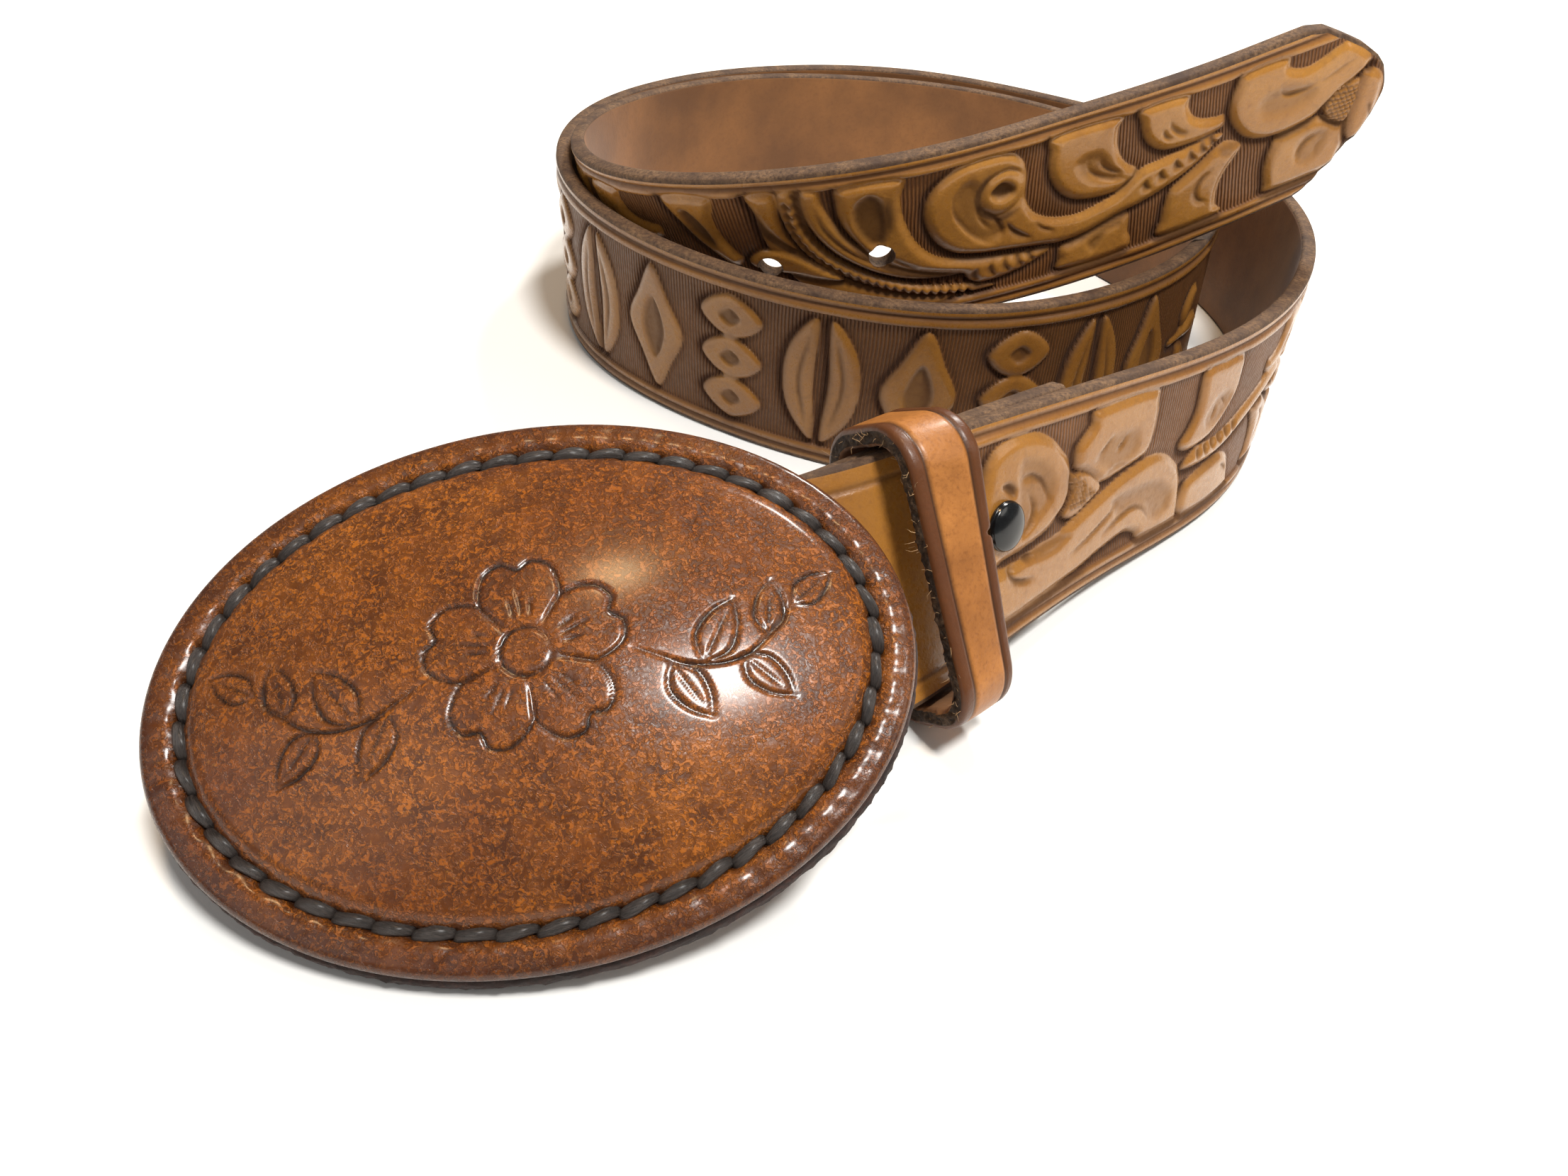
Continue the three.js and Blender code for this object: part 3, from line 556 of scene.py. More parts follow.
def end_leaves(m):
    """Leaves between the end flower and the repeats."""
    m.shape([(1033.4, 14.6), (1026, 15.2), (1019, 14.8), (1018.2, 11), (1018.6, 7.6), (1020.4, 4.8),
             (1024, 1.6), (1028, -0.4), (1034, -0.8), (1037.6, 1), (1035, 4.4), (1033.6, 8)])
    m.hollow([(1031, 5), (1028, 8.6), (1023.4, 9), (1021.4, 6.4), (1025, 3), (1029.6, 2.4)], depth=0.3,
             shade=0.25)
    m.line([(1028.4, 4), (1027.4, 5.6), (1027.6, 6.8)])
    m.line([(1023.6, 6), (1024.8, 7.2), (1025.6, 7.4)])
    m.shape([(1032.4, -8.4), (1026, -6.4), (1019, -5.8), (1014.6, -8), (1012.6, -12), (1012.6, -15),
             (1031, -15)])
    m.line([(1018.6, -8.2), (1016.6, -9.2), (1015, -10.6)])
    m.shape([(1034.4, -4.6), (1031, -1.4), (1022, -0.8), (1012, 2), (1002, 4.2), (992, 5), (990, 2),
             (1000, 0.4), (1010, -1.8), (1022, -5)])
    for k in range(6):
        m.dent(1029.6 - 2.7 * k, -2.6 + 0.35 * k, angle=1.9, long=1.1, wide=0.9, depth=0.5)


def figures(m):
    """Standing lozenges, pairs of pointed leaves and stepped diamonds in a row, with a sprig at the end."""
    for k in range(9):
        c = FIGURES_FROM + FIGURE_PITCH * k
        if k % 3 == 0:
            m.shape([(c - 7.4, 0), (c - 4.2, 7), (c, 14), (c + 4.2, 7), (c + 7.4, 0), (c + 4.2, -7),
                     (c, -14), (c - 4.2, -7)], roundness=0.4, soft=1.8)
            m.hollow([(c - 2.8, 0), (c, 7), (c + 2.8, 0), (c, -7)], depth=0.65, soft=0.6, shade=0.6)
        elif k % 3 == 1:
            for side in (1, -1):
                m.shape([(c + side * 0.8, -13.6), (c + side * 1.6, 0), (c + side * 1.2, 13.6),
                         (c + side * 6.2, 8), (c + side * 7.8, 0), (c + side * 6.2, -8)], roundness=0.4,
                        soft=1.8)
                m.line([(c + side * 2.6, -9.8), (c + side * 4.4, 0), (c + side * 2.6, 9.8)])
        else:
            for middle in (9.2, 0, -9.2):
                m.shape([(c - 6.8, middle), (c, middle + 4.9), (c + 6.8, middle), (c, middle - 4.9)],
                        roundness=0.4, soft=1.6)
                m.hollow([(c - 2.2, middle), (c, middle + 1.8), (c + 2.2, middle), (c, middle - 1.8)],
                         depth=0.6, soft=0.5, shade=0.6)
    for side in (1, -1):
        m.shape([(474.5, side * 1.2), (470, side * 4.6), (468, side * 9), (472.4, side * 9.8),
                 (476.6, side * 5.4)])
        m.line([(474.4, side * 2.6), (472.4, side * 5.4), (470.6, side * 8)], depth=0.2, shade=0.5)
    m.shape([(475, 1.4), (467, 2.6), (461.6, 0), (467, -2.6), (475, -1.4), (482, -0.8), (482, 0.8)])


def tooling(r):
    """The whole belt's tooling: as on the photo from the tip, then in repeats up to the figures."""
    borders(r)
    for shift, along in ((2 * REPEAT, 1), (REPEAT, 1), (804, -1), (804 + REPEAT, -1), (1036, -1)):
        oval_leaf(Motif(r, shift, along))
        leaves(Motif(r, shift, along))
    end_flower(Motif(r, shift=1470, along=-1, across=-1))
    end_leaves(Motif(r))
    end_flower(Motif(r))
    oval_leaf(Motif(r))
    leaves(Motif(r))
    tip_flower(Motif(r))
    figures(Motif(r))
    plain = smooth(r.s, TOOLING_END - 1, TOOLING_END + 1)
    crease = bell(np.abs(r.v) - 15.4, 0.35)
    r.height = r.height * (1 - plain) - plain * 0.3 * crease
    r.raised = r.raised * (1 - plain) + plain
    r.dark = r.dark * (1 - plain) + 0.7 * plain * crease


def strap_marks(start, end, spacing):
    """Distances of the rings, close together at the tip and round the fold."""
    marks = np.append(np.arange(max(start, 0.4), end, spacing), end)
    if start == 0:
        marks = np.concatenate([[-0.6, -0.52, -0.4, -0.2, 0, 0.2], marks])
    if end == BELT_END:
        marks = marks[marks < ROUTE_LENGTH - 1]
        bend = ROUTE_LENGTH - 0.4 + np.arange(0, BEND_LENGTH + 1, 0.4)
        back = np.arange(ROUTE_LENGTH + BEND_LENGTH + 1.2, BELT_END, 1.5)
        marks = np.concatenate([marks, bend, back, [BELT_END]])
    return marks


def strap_section(spacing):
    """Columns round the strap: share of the half width, inset from the edge, depth below the face."""
    face = int(2 * (WIDTH / 2 - EDGE_RADIUS) / spacing) + 1
    corner, drop = EDGE_RADIUS * (1 - np.sin(ROUND_ANGLES)), EDGE_RADIUS * (1 - np.cos(ROUND_ANGLES))
    side_inset = np.concatenate([corner, [0], corner[2::-1], [EDGE_RADIUS]])
    side_depth = np.concatenate([drop, [THICK - EDGE_RADIUS], THICK - drop[2::-1], [THICK]])
    side, back = np.ones(len(side_depth)), np.linspace(1, -1, 9)[1:-1]
    share = np.concatenate([np.linspace(-1, 1, face), side, back, -side])
    inset = np.concatenate([np.full(face, EDGE_RADIUS), side_inset, np.full(len(back), EDGE_RADIUS),
                            side_inset[::-1]])
    depth = np.concatenate([np.zeros(face), side_depth, np.full(len(back), THICK), side_depth[::-1]])
    return share, inset, depth, face


def strap_part(name, start, end, spacing):
    """One stretch of the strap: a closed ring of points at each distance, with the tooled face on top."""
    marks = strap_marks(start, end, spacing)
    share, inset, depth, face = strap_section(spacing)
    count = len(share)
    half = np.interp(marks, TIP[:, 0], TIP[:, 1])[:, None]
    across = share * np.maximum(half - inset, 0.1)
    relief = Relief(np.repeat(marks[:, None], face, axis=1), across[:, :face])
    tooling(relief)
    outline = np.maximum(half - np.abs(relief.v), 0)
    relief.height -= 0.3 * (1 - smooth(outline / 1.8)) * (half < WIDTH / 2 - 0.01)
    values = {}
    for key in ("height", "raised", "dark"):
        grid = getattr(relief, key) * (marks < ROUTE_LENGTH)[:, None]
        nearest = np.where(share[face:] > 0, grid[:, -1:], grid[:, :1])
        values[key] = np.hstack([grid, nearest * np.maximum(0, 1 - depth[face:] / 1.2)])
    origin, out, up = belt_frame(marks)
    points = (origin[:, None] + out[:, None] * (values["height"] - depth)[..., None]
              + up[:, None] * across[..., None]).reshape(-1, 3)
    kind = np.where(depth >= THICK - 0.02, 2, np.where(np.arange(count) < face, 0, 1))
    face_kind = np.append(np.tile(np.maximum(kind, np.roll(kind, -1)), len(marks) - 1), [1, 1])
    place = np.column_stack([np.repeat(marks, count), across.ravel(), np.zeros(len(points))])
    sharp = np.zeros(len(points), bool)
    sharp[:count] = sharp[-count:] = True
    layers = {"place": place, "raised": values["raised"].ravel(),
              "dark": np.clip(values["dark"], 0, 1).ravel()}
    return piece(name, points, tube_faces(len(marks), count), [GRAIN, EDGE, FLESH],
                 face_material=face_kind, layers=layers, sharp=sharp)


# Node materials

def rgb(r, g, b):
    """Screen colour 0 to 255 as the linear colour of a socket."""
    def part(c):
        c /= 255
        return c / 12.92 if c <= 0.04045 else ((c + 0.055) / 1.055) ** 2.4
    return part(r), part(g), part(b), 1.0


class Shade:
    """A node material being put together: each call adds one node and gives its output."""

    def __init__(self, name, **values):
        self.material = bpy.data.materials.new(name)
        self.material.use_nodes = True
        self.tree = self.material.node_tree
        self.shader = self.tree.nodes["Principled BSDF"]
        for key, value in values.items():
            self.shader.inputs[key.replace("_", " ")].default_value = value

    def node(self, kind, inputs=None, output=0, **settings):
        n = self.tree.nodes.new("ShaderNode" + kind)
        for key, value in settings.items():
            setattr(n, key, value)
        for key, value in (inputs or {}).items():
            if isinstance(value, bpy.types.NodeSocket):
                self.tree.links.new(value, n.inputs[key])
            else:
                n.inputs[key].default_value = value
        return n.outputs[output]

    def link(self, value, key):
        self.tree.links.new(value, self.shader.inputs[key])

    def layer(self, name, output="Fac"):
        return self.node("Attribute", attribute_type="GEOMETRY", attribute_name=name, output=output)

    def axis(self, vector, which):
        return self.node("SeparateXYZ", {0: vector}, output=which)

    def calc(self, operation, a, b=0.0, clamp=False):
        return self.node("Math", {0: a, 1: b}, operation=operation, use_clamp=clamp)

    def times(self, a, b, clamp=False):
        return self.calc("MULTIPLY", a, b, clamp)

    def mix(self, factor, a, b):
        return self.node("Mix", {0: factor, 6: a, 7: b}, output=2, data_type="RGBA", blend_type="MIX")

    def tint(self, colour, amount, strength, other):
        """The colour moved towards another one by an amount times a strength."""
        return self.mix(self.times(amount, strength), colour, other)

    def noise(self, scale, detail=4, rough=0.55, distort=0.0, vector=None):
        inputs = {"Scale": scale, "Detail": detail, "Roughness": rough, "Distortion": distort}
        inputs["Vector"] = vector or self.node("TexCoord", output="Object")
        return self.node("TexNoise", inputs)

    def span(self, value, low, high):
        return self.node("MapRange", {0: value, 1: low, 2: high, 3: 0.0, 4: 1.0})

    def bump(self, height, strength, distance, normal=None):
        inputs = {"Height": height, "Strength": strength, "Distance": distance}
        if normal is not None:
            inputs["Normal"] = normal
        return self.node("Bump", inputs)


def grain_leather():
    """Tooled face: polished raised forms on a lined ground, with painted shade darkening the belt from
    about 330 to 760 mm along it and, more lightly, past 820 mm.
    """
    m = Shade("tooled_grain", Coat_Roughness=0.12, Specular_IOR_Level=0.3)
    place = m.layer("place", "Vector")
    raised, dark = m.layer("raised"), m.layer("dark")
    s, v = m.axis(place, 0), m.axis(place, 1)
    wander = m.calc("ADD", s, m.times(m.noise(70, 3), 0.9))
    lines = m.calc("SINE", m.times(wander, 2 * math.pi / LINE_PITCH))
    middle = m.span(m.calc("ABSOLUTE", v), 15.0, 14.6)
    ground = m.times(m.calc("SUBTRACT", 1.0, m.span(raised, 0.1, 0.7)), middle)
    lined = m.times(lines, ground)
    blotch, fine, pores = m.noise(48, 5, 0.6), m.noise(900, 4, 0.6), m.noise(2400, 3, 0.6)
    low = m.mix(m.span(blotch, 0.35, 0.65), rgb(120, 78, 40), rgb(148, 98, 54))
    high = m.mix(m.span(blotch, 0.3, 0.7), rgb(156, 104, 42), rgb(182, 128, 58))
    colour = m.mix(m.span(raised, 0.15, 0.85), low, high)
    colour = m.tint(colour, m.span(lined, 0.2, -0.9), 0.65, rgb(74, 44, 24))
    colour = m.tint(colour, m.span(fine, 0.5, 0.75), 0.3, rgb(92, 54, 26))
    # Painted shade: the inner turns darker, and the outer turn towards the buckle a little darker, where
    # less light falls on them
    painted_turn_shade = m.times(m.span(s, 330, 430), m.span(s, 760, 660))
    painted_buckle_shade = m.span(s, 820, 920)
    colour = m.tint(colour, painted_turn_shade, 0.42, rgb(66, 42, 20))
    colour = m.tint(colour, painted_buckle_shade, 0.24, rgb(92, 54, 24))
    # dark layer: dark cut lines, stamps and outlines, plus painted shade on the sides of forms turned from
    # the light
    colour = m.tint(colour, dark, 0.8, rgb(52, 28, 13))
    m.link(colour, "Base Color")
    matt = m.calc("ADD", m.times(ground, 0.35), m.times(dark, 0.9))
    m.link(m.span(m.calc("ADD", fine, matt), -0.1, 1.9), "Roughness")
    polish = m.times(m.span(raised, -0.15, 2.6), m.calc("SUBTRACT", 1.0, dark), clamp=True)
    m.link(polish, "Coat Weight")
    grainy = m.bump(m.calc("ADD", fine, m.times(pores, 0.4)), 0.35, 0.00025)
    m.link(m.bump(lined, 0.8, 0.0003, grainy), "Normal")
    return m.material


def cut_edge(name, light, dark, strength=0.6):
    """Raw cut leather: bundles of fibres, darker in bands."""
    m = Shade(name, Roughness=0.8)
    fibres = m.noise(1400, 6, 0.7)
    colour = m.mix(m.span(fibres, 0.35, 0.7), dark, light)
    m.link(m.mix(m.span(m.noise(160, 3, 0.6), 0.4, 0.7), colour, dark), "Base Color")
    m.link(m.bump(fibres, strength, 0.0004), "Normal")
    return m.material


def flesh_leather():
    m = Shade("flesh_side", Roughness=0.7, Sheen_Weight=0.1, Sheen_Roughness=0.5)
    cloud, nap = m.noise(38, 5, 0.6), m.noise(1100, 5, 0.65)
    colour = m.mix(m.span(cloud, 0.35, 0.68), rgb(98, 62, 28), rgb(134, 88, 43))
    m.link(m.tint(colour, m.span(nap, 0.5, 0.8), 0.35, rgb(80, 46, 22)), "Base Color")
    m.link(m.bump(nap, 0.3, 0.0003), "Normal")
    return m.material


def keeper_leather():
    """Plain leather, dyed darker outside its creases."""
    m = Shade("keeper_grain", Roughness=0.42, Coat_Weight=0.12, Coat_Roughness=0.2, Specular_IOR_Level=0.25)
    cloud, fine = m.noise(120, 5, 0.6), m.noise(1500, 4, 0.6)
    colour = m.mix(m.span(cloud, 0.35, 0.68), rgb(134, 84, 38), rgb(166, 108, 52))
    colour = m.tint(colour, m.layer("raised"), 0.9, rgb(68, 35, 16))
    colour = m.tint(colour, m.span(fine, 0.5, 0.72), 0.4, rgb(92, 48, 16))
    m.link(m.tint(colour, m.layer("dark"), 0.95, rgb(30, 14, 6)), "Base Color")
    m.link(m.bump(m.noise(800, 5, 0.65), 0.4, 0.0003), "Normal")
    return m.material


def cover_leather():
    """Dyed leather with a dense pattern of dark worm marks and pores, darker at its rim partly by dye and
    partly by painted shade, with painted shade towards its left and lower side and in the stitch holes.
    """
    m = Shade("buckle_grain", Coat_Weight=0.36, Coat_Roughness=0.19, Specular_IOR_Level=0.25)
    worms = m.span(m.noise(1050, 3, 0.6, distort=1.2), 0.55, 0.45)
    pores = m.span(m.noise(2100, 2, 0.5), 0.52, 0.42)
    patchy = m.calc("ADD", m.times(m.span(m.noise(190, 4, 0.6), 0.3, 0.62), 0.45), 0.55)
    crackle = m.times(m.calc("MAXIMUM", worms, m.times(pores, 0.7)), patchy, clamp=True)
    colour = m.mix(m.span(m.noise(34, 5, 0.6), 0.35, 0.66), rgb(120, 62, 9), rgb(152, 86, 18))
    colour = m.tint(colour, crackle, 0.86, rgb(48, 21, 6))
    colour = m.tint(colour, m.span(m.noise(2300, 2), 0.64, 0.72), 0.35, rgb(176, 116, 44))
    # raised layer on the cover: rim darker, partly dye and partly painted shade, and painted shade towards
    # the left and lower side
    colour = m.tint(colour, m.layer("raised"), 0.7, rgb(50, 21, 8))
    # dark layer: the rose's cut lines, plus painted shade in the stitch holes and along the stitch row
    m.link(m.mix(m.layer("dark"), colour, rgb(14, 8, 6)), "Base Color")
    m.link(m.span(m.noise(1300, 4, 0.6), -0.1, 1.5), "Roughness")
    creased = m.bump(m.calc("SUBTRACT", 1.0, crackle), 0.8, 0.0003)
    m.link(m.bump(m.noise(420, 4, 0.6), 0.3, 0.0005, creased), "Normal")
    return m.material


def waxed_thread():
    """Dark cord with pale streaks drawn out along it."""
    m = Shade("waxed_thread", Roughness=0.42, Coat_Weight=0.2, Coat_Roughness=0.3)
    way = m.node("VectorMath", {0: m.layer("place", "Vector"), 1: (0.5, 5.0, 1.0)}, operation="MULTIPLY")
    streak = m.noise(1.6, 5, 0.7, vector=way)
    m.link(m.mix(m.span(streak, 0.42, 0.72), rgb(16, 12, 11), rgb(72, 63, 58)), "Base Color")
    m.link(m.bump(streak, 0.8, 0.0003), "Normal")
    return m.material


def steel():
    m = Shade("steel", Metallic=1.0)
    rub = m.noise(600, 4, 0.6)
    m.link(m.mix(m.span(rub, 0.3, 0.7), rgb(176, 174, 168), rgb(206, 204, 198)), "Base Color")
    m.link(m.span(m.noise(240, 4), -0.3, 1.9), "Roughness")
    m.link(m.bump(rub, 0.06, 0.0002), "Normal")
    return m.material


def black_enamel():
    m = Shade("black_enamel", Roughness=0.2, Coat_Weight=0.25, Coat_Roughness=0.05, Specular_IOR_Level=0.3)
    rub = m.noise(500, 4, 0.6)
    m.link(m.mix(m.span(rub, 0.45, 0.8), rgb(9, 10, 12), rgb(26, 30, 32)), "Base Color")
    m.link(m.bump(m.noise(300, 4), 0.12, 0.0004), "Normal")
    return m.material


GRAIN = grain_leather()
EDGE = cut_edge("strap_edge", rgb(124, 94, 64), rgb(58, 38, 24))
FLESH = flesh_leather()
KEEPER_GRAIN = keeper_leather()
FIBRE = cut_edge("loose_fibre", rgb(196, 164, 122), rgb(140, 106, 70), 0.3)
KEEPER_EDGE = cut_edge("keeper_edge", rgb(112, 84, 56), rgb(26, 15, 8), 0.9)
COVER = cover_leather()
RIM = cut_edge("backing_edge", rgb(70, 38, 28), rgb(26, 12, 9), 0.9)
THREAD = waxed_thread()
STEEL = steel()
ENAMEL = black_enamel()


# The strap in stretches, so that its tooling stays fine, with the holes through the first one

def punch(target, s):
    """Cuts one of the round holes through a strap piece."""
    origin, _, out, up = frame_at(s)
    middle, side = origin + up * HOLE_ACROSS, np.cross(up, out)
    angles = np.linspace(0, 2 * math.pi, HOLE_POINTS, endpoint=False)
    points = [middle + out * h + HOLE_RADIUS * (np.cos(a) * side + np.sin(a) * up)
              for h in (-THICK - 1, 1) for a in angles]
    mesh = bpy.data.meshes.new("punch")
    mesh.from_pydata((np.array(points) * MM).tolist(), [], tube_faces(2, HOLE_POINTS))
    mesh.materials.append(EDGE)
    cutter = add_object("punch", mesh)
    cut = target.modifiers.new("cut", "BOOLEAN")
    cut.operation, cut.object, cut.solver = "DIFFERENCE", cutter, "MANIFOLD"
    bpy.context.view_layer.update()
    cut_mesh = bpy.data.meshes.new_from_object(target.evaluated_get(bpy.context.evaluated_depsgraph_get()))
    target.modifiers.remove(cut)
    old, name = target.data, target.data.name
    target.data = cut_mesh
    bpy.data.meshes.remove(old)
    cut_mesh.name = name
    bpy.data.objects.remove(cutter)
    bpy.data.meshes.remove(mesh)


front = strap_part("strap_tip_stretch", 0, 262, 0.36)
strap_part("strap_inner_turn", 262, 462, 0.6)
strap_part("strap_figure_stretch", 462, 662, 0.42)
strap_part("strap_outer_turn", 662, 950, 0.6)
strap_part("strap_buckle_stretch", 950, BELT_END, 0.42)
for k in range(HOLE_COUNT):
    punch(front, HOLE_FIRST + k * HOLE_PITCH)
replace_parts(front, "strap")


# Keeper: a leather loop with two creases, a rough cut edge and loose fibres

def rounded_path(width, height, radius, step):
    """Points and outward normals round a rounded rectangle."""
    points, normals = [], []
    x, y = width / 2 - radius, height / 2 - radius
    corners = [((x, y), 0), ((-x, y), 90), ((-x, -y), 180), ((x, -y), 270)]
    for k, ((cx, cy), turn) in enumerate(corners):
        for a in np.linspace(turn, turn + 90, 22):
            n = np.array([math.cos(math.radians(a)), math.sin(math.radians(a))])
            points.append(np.array([cx, cy]) + radius * n)
            normals.append(n)
        (nx, ny), _ = corners[(k + 1) % 4]
        n = normals[-1]
        start, end = points[-1], np.array([nx, ny]) + radius * n
        count = int(np.linalg.norm(end - start) / step)
        for j in range(1, count):
            points.append(start + (end - start) * j / count)
            normals.append(n)
    return np.array(points), np.array(normals)


def loop_section():
    """Columns round the loop's section: place along the belt, depth, and 0 face, 1 edge or 2 inside."""
    half, radius = KEEPER_WIDTH / 2, KEEPER_ROUND
    flat, inner = half - radius, KEEPER_THICK - 0.4
    corner = [(flat + radius * math.sin(a), radius * (1 - math.cos(a)), 0) for a in ROUND_ANGLES]
    rows = [(z, 0, 0) for z in np.linspace(-flat, flat, 31)] + corner
    rows += [(half, d, 1) for d in np.linspace(radius, inner, 6)[1:]]
    rows += [(z, KEEPER_THICK, 2) for z in np.linspace(half - 0.3, -half + 0.3, 12)]
    rows += [(-half, d, 1) for d in np.linspace(inner, radius, 6)[:-1]]
    rows += [(-z, d, 0) for z, d, _ in corner[::-1]]
    return np.array(rows, float).T


def fibres(skin, zs, rng):
    """Loose pale fibres, each a thin bent prism, rooted on the loop's cut edges."""
    points, faces = [], []
    edges = {side: np.nonzero(side * zs > KEEPER_WIDTH / 2 - 0.01)[0] for side in (1, -1)}
    along = frame_at(KEEPER_AT)[1]
    for _ in range(FIBRE_COUNT):
        side = 1 if rng.random() < 0.8 else -1
        root = skin[rng.integers(len(skin)), rng.choice(edges[side])]
        out = along * side
        lean = rng.normal(0, 1, 3)
        tip = unit(out * rng.uniform(0.2, 0.9) + lean * 0.8) * rng.uniform(0.7, 2.0)
        bow = rng.normal(0, 0.25, 3)
        width = unit(np.cross(tip, [0.3, 0.5, 0.8])) * 0.07
        thick = unit(np.cross(tip, width)) * 0.07
        faces.append(ring_faces(3, 3) + len(points))
        for u in (0, 0.5, 1):
            at = root - out * 0.15 + tip * u + bow * math.sin(u * math.pi)
            size = 1 - 0.7 * u
            points += [at + width * size, at - width * 0.5 * size + thick * 0.87 * size,
                       at - width * 0.5 * size - thick * 0.87 * size]
    return np.array(points), np.vstack(faces)


def keeper():
    path, normal = rounded_path(KEEPER_DEPTH, KEEPER_HEIGHT, KEEPER_CORNER, 0.4)
    zs, deep, kinds = loop_section()
    half, crease = KEEPER_WIDTH / 2, KEEPER_WIDTH / 2 - KEEPER_CREASE
    groove = sum(bell(zs - side * crease, 0.22) for side in (1, -1)) * (deep < 0.1)
    rng = np.random.default_rng(7)
    rough = rng.normal(0, 1, (len(path), len(zs)))
    rough = (rough + np.roll(rough, 1, 0) + np.roll(rough, 1, 1)) / 3
    z = zs + rough * ((kinds == 1) * 0.22) * np.sign(zs)
    notch = bell(path[:, 1] - KEEPER_NOTCH, 0.5) * (path[:, 0] > KEEPER_DEPTH / 2 - 0.5)
    z += 0.9 * notch[:, None] * smooth(-zs, half - 2.2, half)
    sunk = deep + 0.32 * groove + rough * 0.08 * (kinds == 2)
    xy = path[:, None] - normal[:, None] * sunk[..., None]
    turn = math.radians(KEEPER_ROLL)
    cos, sin = math.cos(turn), math.sin(turn)
    x = xy[..., 0] * cos - xy[..., 1] * sin + KEEPER_FRONT - KEEPER_DEPTH / 2
    y = xy[..., 0] * sin + xy[..., 1] * cos + KEEPER_ACROSS
    s = KEEPER_AT + z + y * math.tan(math.radians(KEEPER_CROOKED))
    origin, _, out, up = route_frame(s.ravel())
    points = origin + out * x.reshape(-1, 1) + up * y.reshape(-1, 1)
    hairs, hair_faces = fibres(points.reshape(*s.shape, 3), zs, rng)
    faces = ring_faces(*s.shape, closed=True).tolist() + (hair_faces + len(points)).tolist()
    face_kind = np.append(np.tile(np.maximum(kinds, np.roll(kinds, -1)), len(path)),
                          np.full(len(hair_faces), 3))
    band = smooth(np.abs(zs), crease - 0.2, crease + 0.2) * (kinds == 0)
    blank = np.zeros(len(hairs))
    layers = {key: np.append(np.tile(values, len(path)), blank)
              for key, values in (("raised", band), ("dark", groove))}
    obj = piece("keeper_leather_loop", np.vstack([points, hairs]), faces,
                [KEEPER_GRAIN, KEEPER_EDGE, FLESH, FIBRE], face_material=face_kind,
                layers=layers)
    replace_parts(obj, "keeper_loop")


keeper()


# Snap: black domed cap with its post, and the steel socket behind

def turned(profile):
    """Points and quads of a form turned round the snap's axis, from radii and heights over the face."""
    angles = np.linspace(0, 2 * math.pi, TURNED_POINTS, endpoint=False)
    points = np.array([[r * math.cos(a), r * math.sin(a), z] for r, z in profile for a in angles])
    origin, _, out, up = frame_at(SNAP_AT)
    points = (origin + up * SNAP_ACROSS + points[:, :1] * np.cross(up, out) + points[:, 1:2] * up
              + points[:, 2:] * out)
    return points, ring_faces(len(profile), TURNED_POINTS)


def snap():
    top = -(2 * THICK + FOLD_GAP) - CLEAR
    low = -(2 * THICK + FOLD_GAP + CLEAR + 2.2)
    profile = [(0.01, low), (SNAP_POST, low), (SNAP_POST, CLEAR - 0.3), (SNAP_RADIUS - 0.3, CLEAR - 0.35)]
    profile += [(SNAP_RADIUS - 0.4 + 0.4 * math.cos(a), CLEAR + 0.15 + 0.4 * math.sin(a))
                for a in np.radians(np.linspace(-60, 60, 7))]
    profile += [(r, CLEAR + 0.5 + (SNAP_HEIGHT - 0.5) * (1 - (r / SNAP_RADIUS) ** 2) ** 0.6)
                for r in np.linspace(SNAP_RADIUS - 0.2, 0.01, 16)]
    points, faces = turned(profile)
    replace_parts(piece("snap_dome", points, faces, [ENAMEL]), "snap_cap")
    ring = [(1.9, top), (1.9, top - 2.2), (2.6, top - 2.2)]
    ring += [(3.1 + 0.8 * math.cos(a), top - 1.4 + 0.8 * math.sin(a))
             for a in np.radians(np.linspace(-90, 0, 7))]
    points, faces = turned(ring + [(3.9, top), ring[0]])
    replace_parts(piece("snap_socket_ring", points, faces[:, ::-1], [STEEL]), "snap_socket")


snap()


# Buckle

TURN = np.array(Matrix.Rotation(math.radians(BUCKLE_HEADING), 3, "Z")
                @ Matrix.Rotation(math.radians(-BUCKLE_RISE), 3, "Y")
                @ Matrix.Rotation(math.radians(BUCKLE_ROLL), 3, "X"))


def on_buckle(points):
    return np.asarray(points) @ TURN.T + np.array(BUCKLE_PLACE)


def oval(inset, angles, height=None):
    """Points of the buckle's outline moved in by an inset, at a height where one is given."""
    rows = [(HALF_LONG - inset) * np.cos(angles), (HALF_SHORT - inset) * np.sin(angles)]
    return np.column_stack(rows if height is None else rows + [np.full(len(angles), height)])


def inset_at(x, y):
    """How far inside the buckle's outline a place lies, as the inset of the oval through it."""
    low, high = np.zeros(x.shape), np.full(x.shape, HALF_SHORT - 1e-6)
    for _ in range(24):
        middle = (low + high) / 2
        within = (x / (HALF_LONG - middle)) ** 2 + (y / (HALF_SHORT - middle)) ** 2 < 1
        low, high = np.where(within, middle, low), np.where(within, high, middle)
    return low


def stitch_holes():
    """Evenly spaced points round the row of stitches."""
    a = np.linspace(0, 2 * math.pi, 2001)
    way = running_length(oval(STITCH_INSET, a))
    return oval(STITCH_INSET, np.interp(np.arange(STITCHES) / STITCHES * way[-1], way, a))


def cover_height(x, y):
    """Height of the cover's top without its tooling: flange, stitch groove and dome."""
    inset = inset_at(x, y)
    scale2 = (x / (HALF_LONG - DOME_INSET)) ** 2 + (y / (HALF_SHORT - DOME_INSET)) ** 2
    dome = DOME_FOOT + DOME_HEIGHT * (1 - np.minimum(scale2, 1))
    z = smooth(inset, STITCH_INSET - 0.2, DOME_INSET + 0.4) * dome
    return z + 0.3 * bell(inset - 2.9, 1.2) - 0.4 * bell(inset - STITCH_INSET, 0.9)


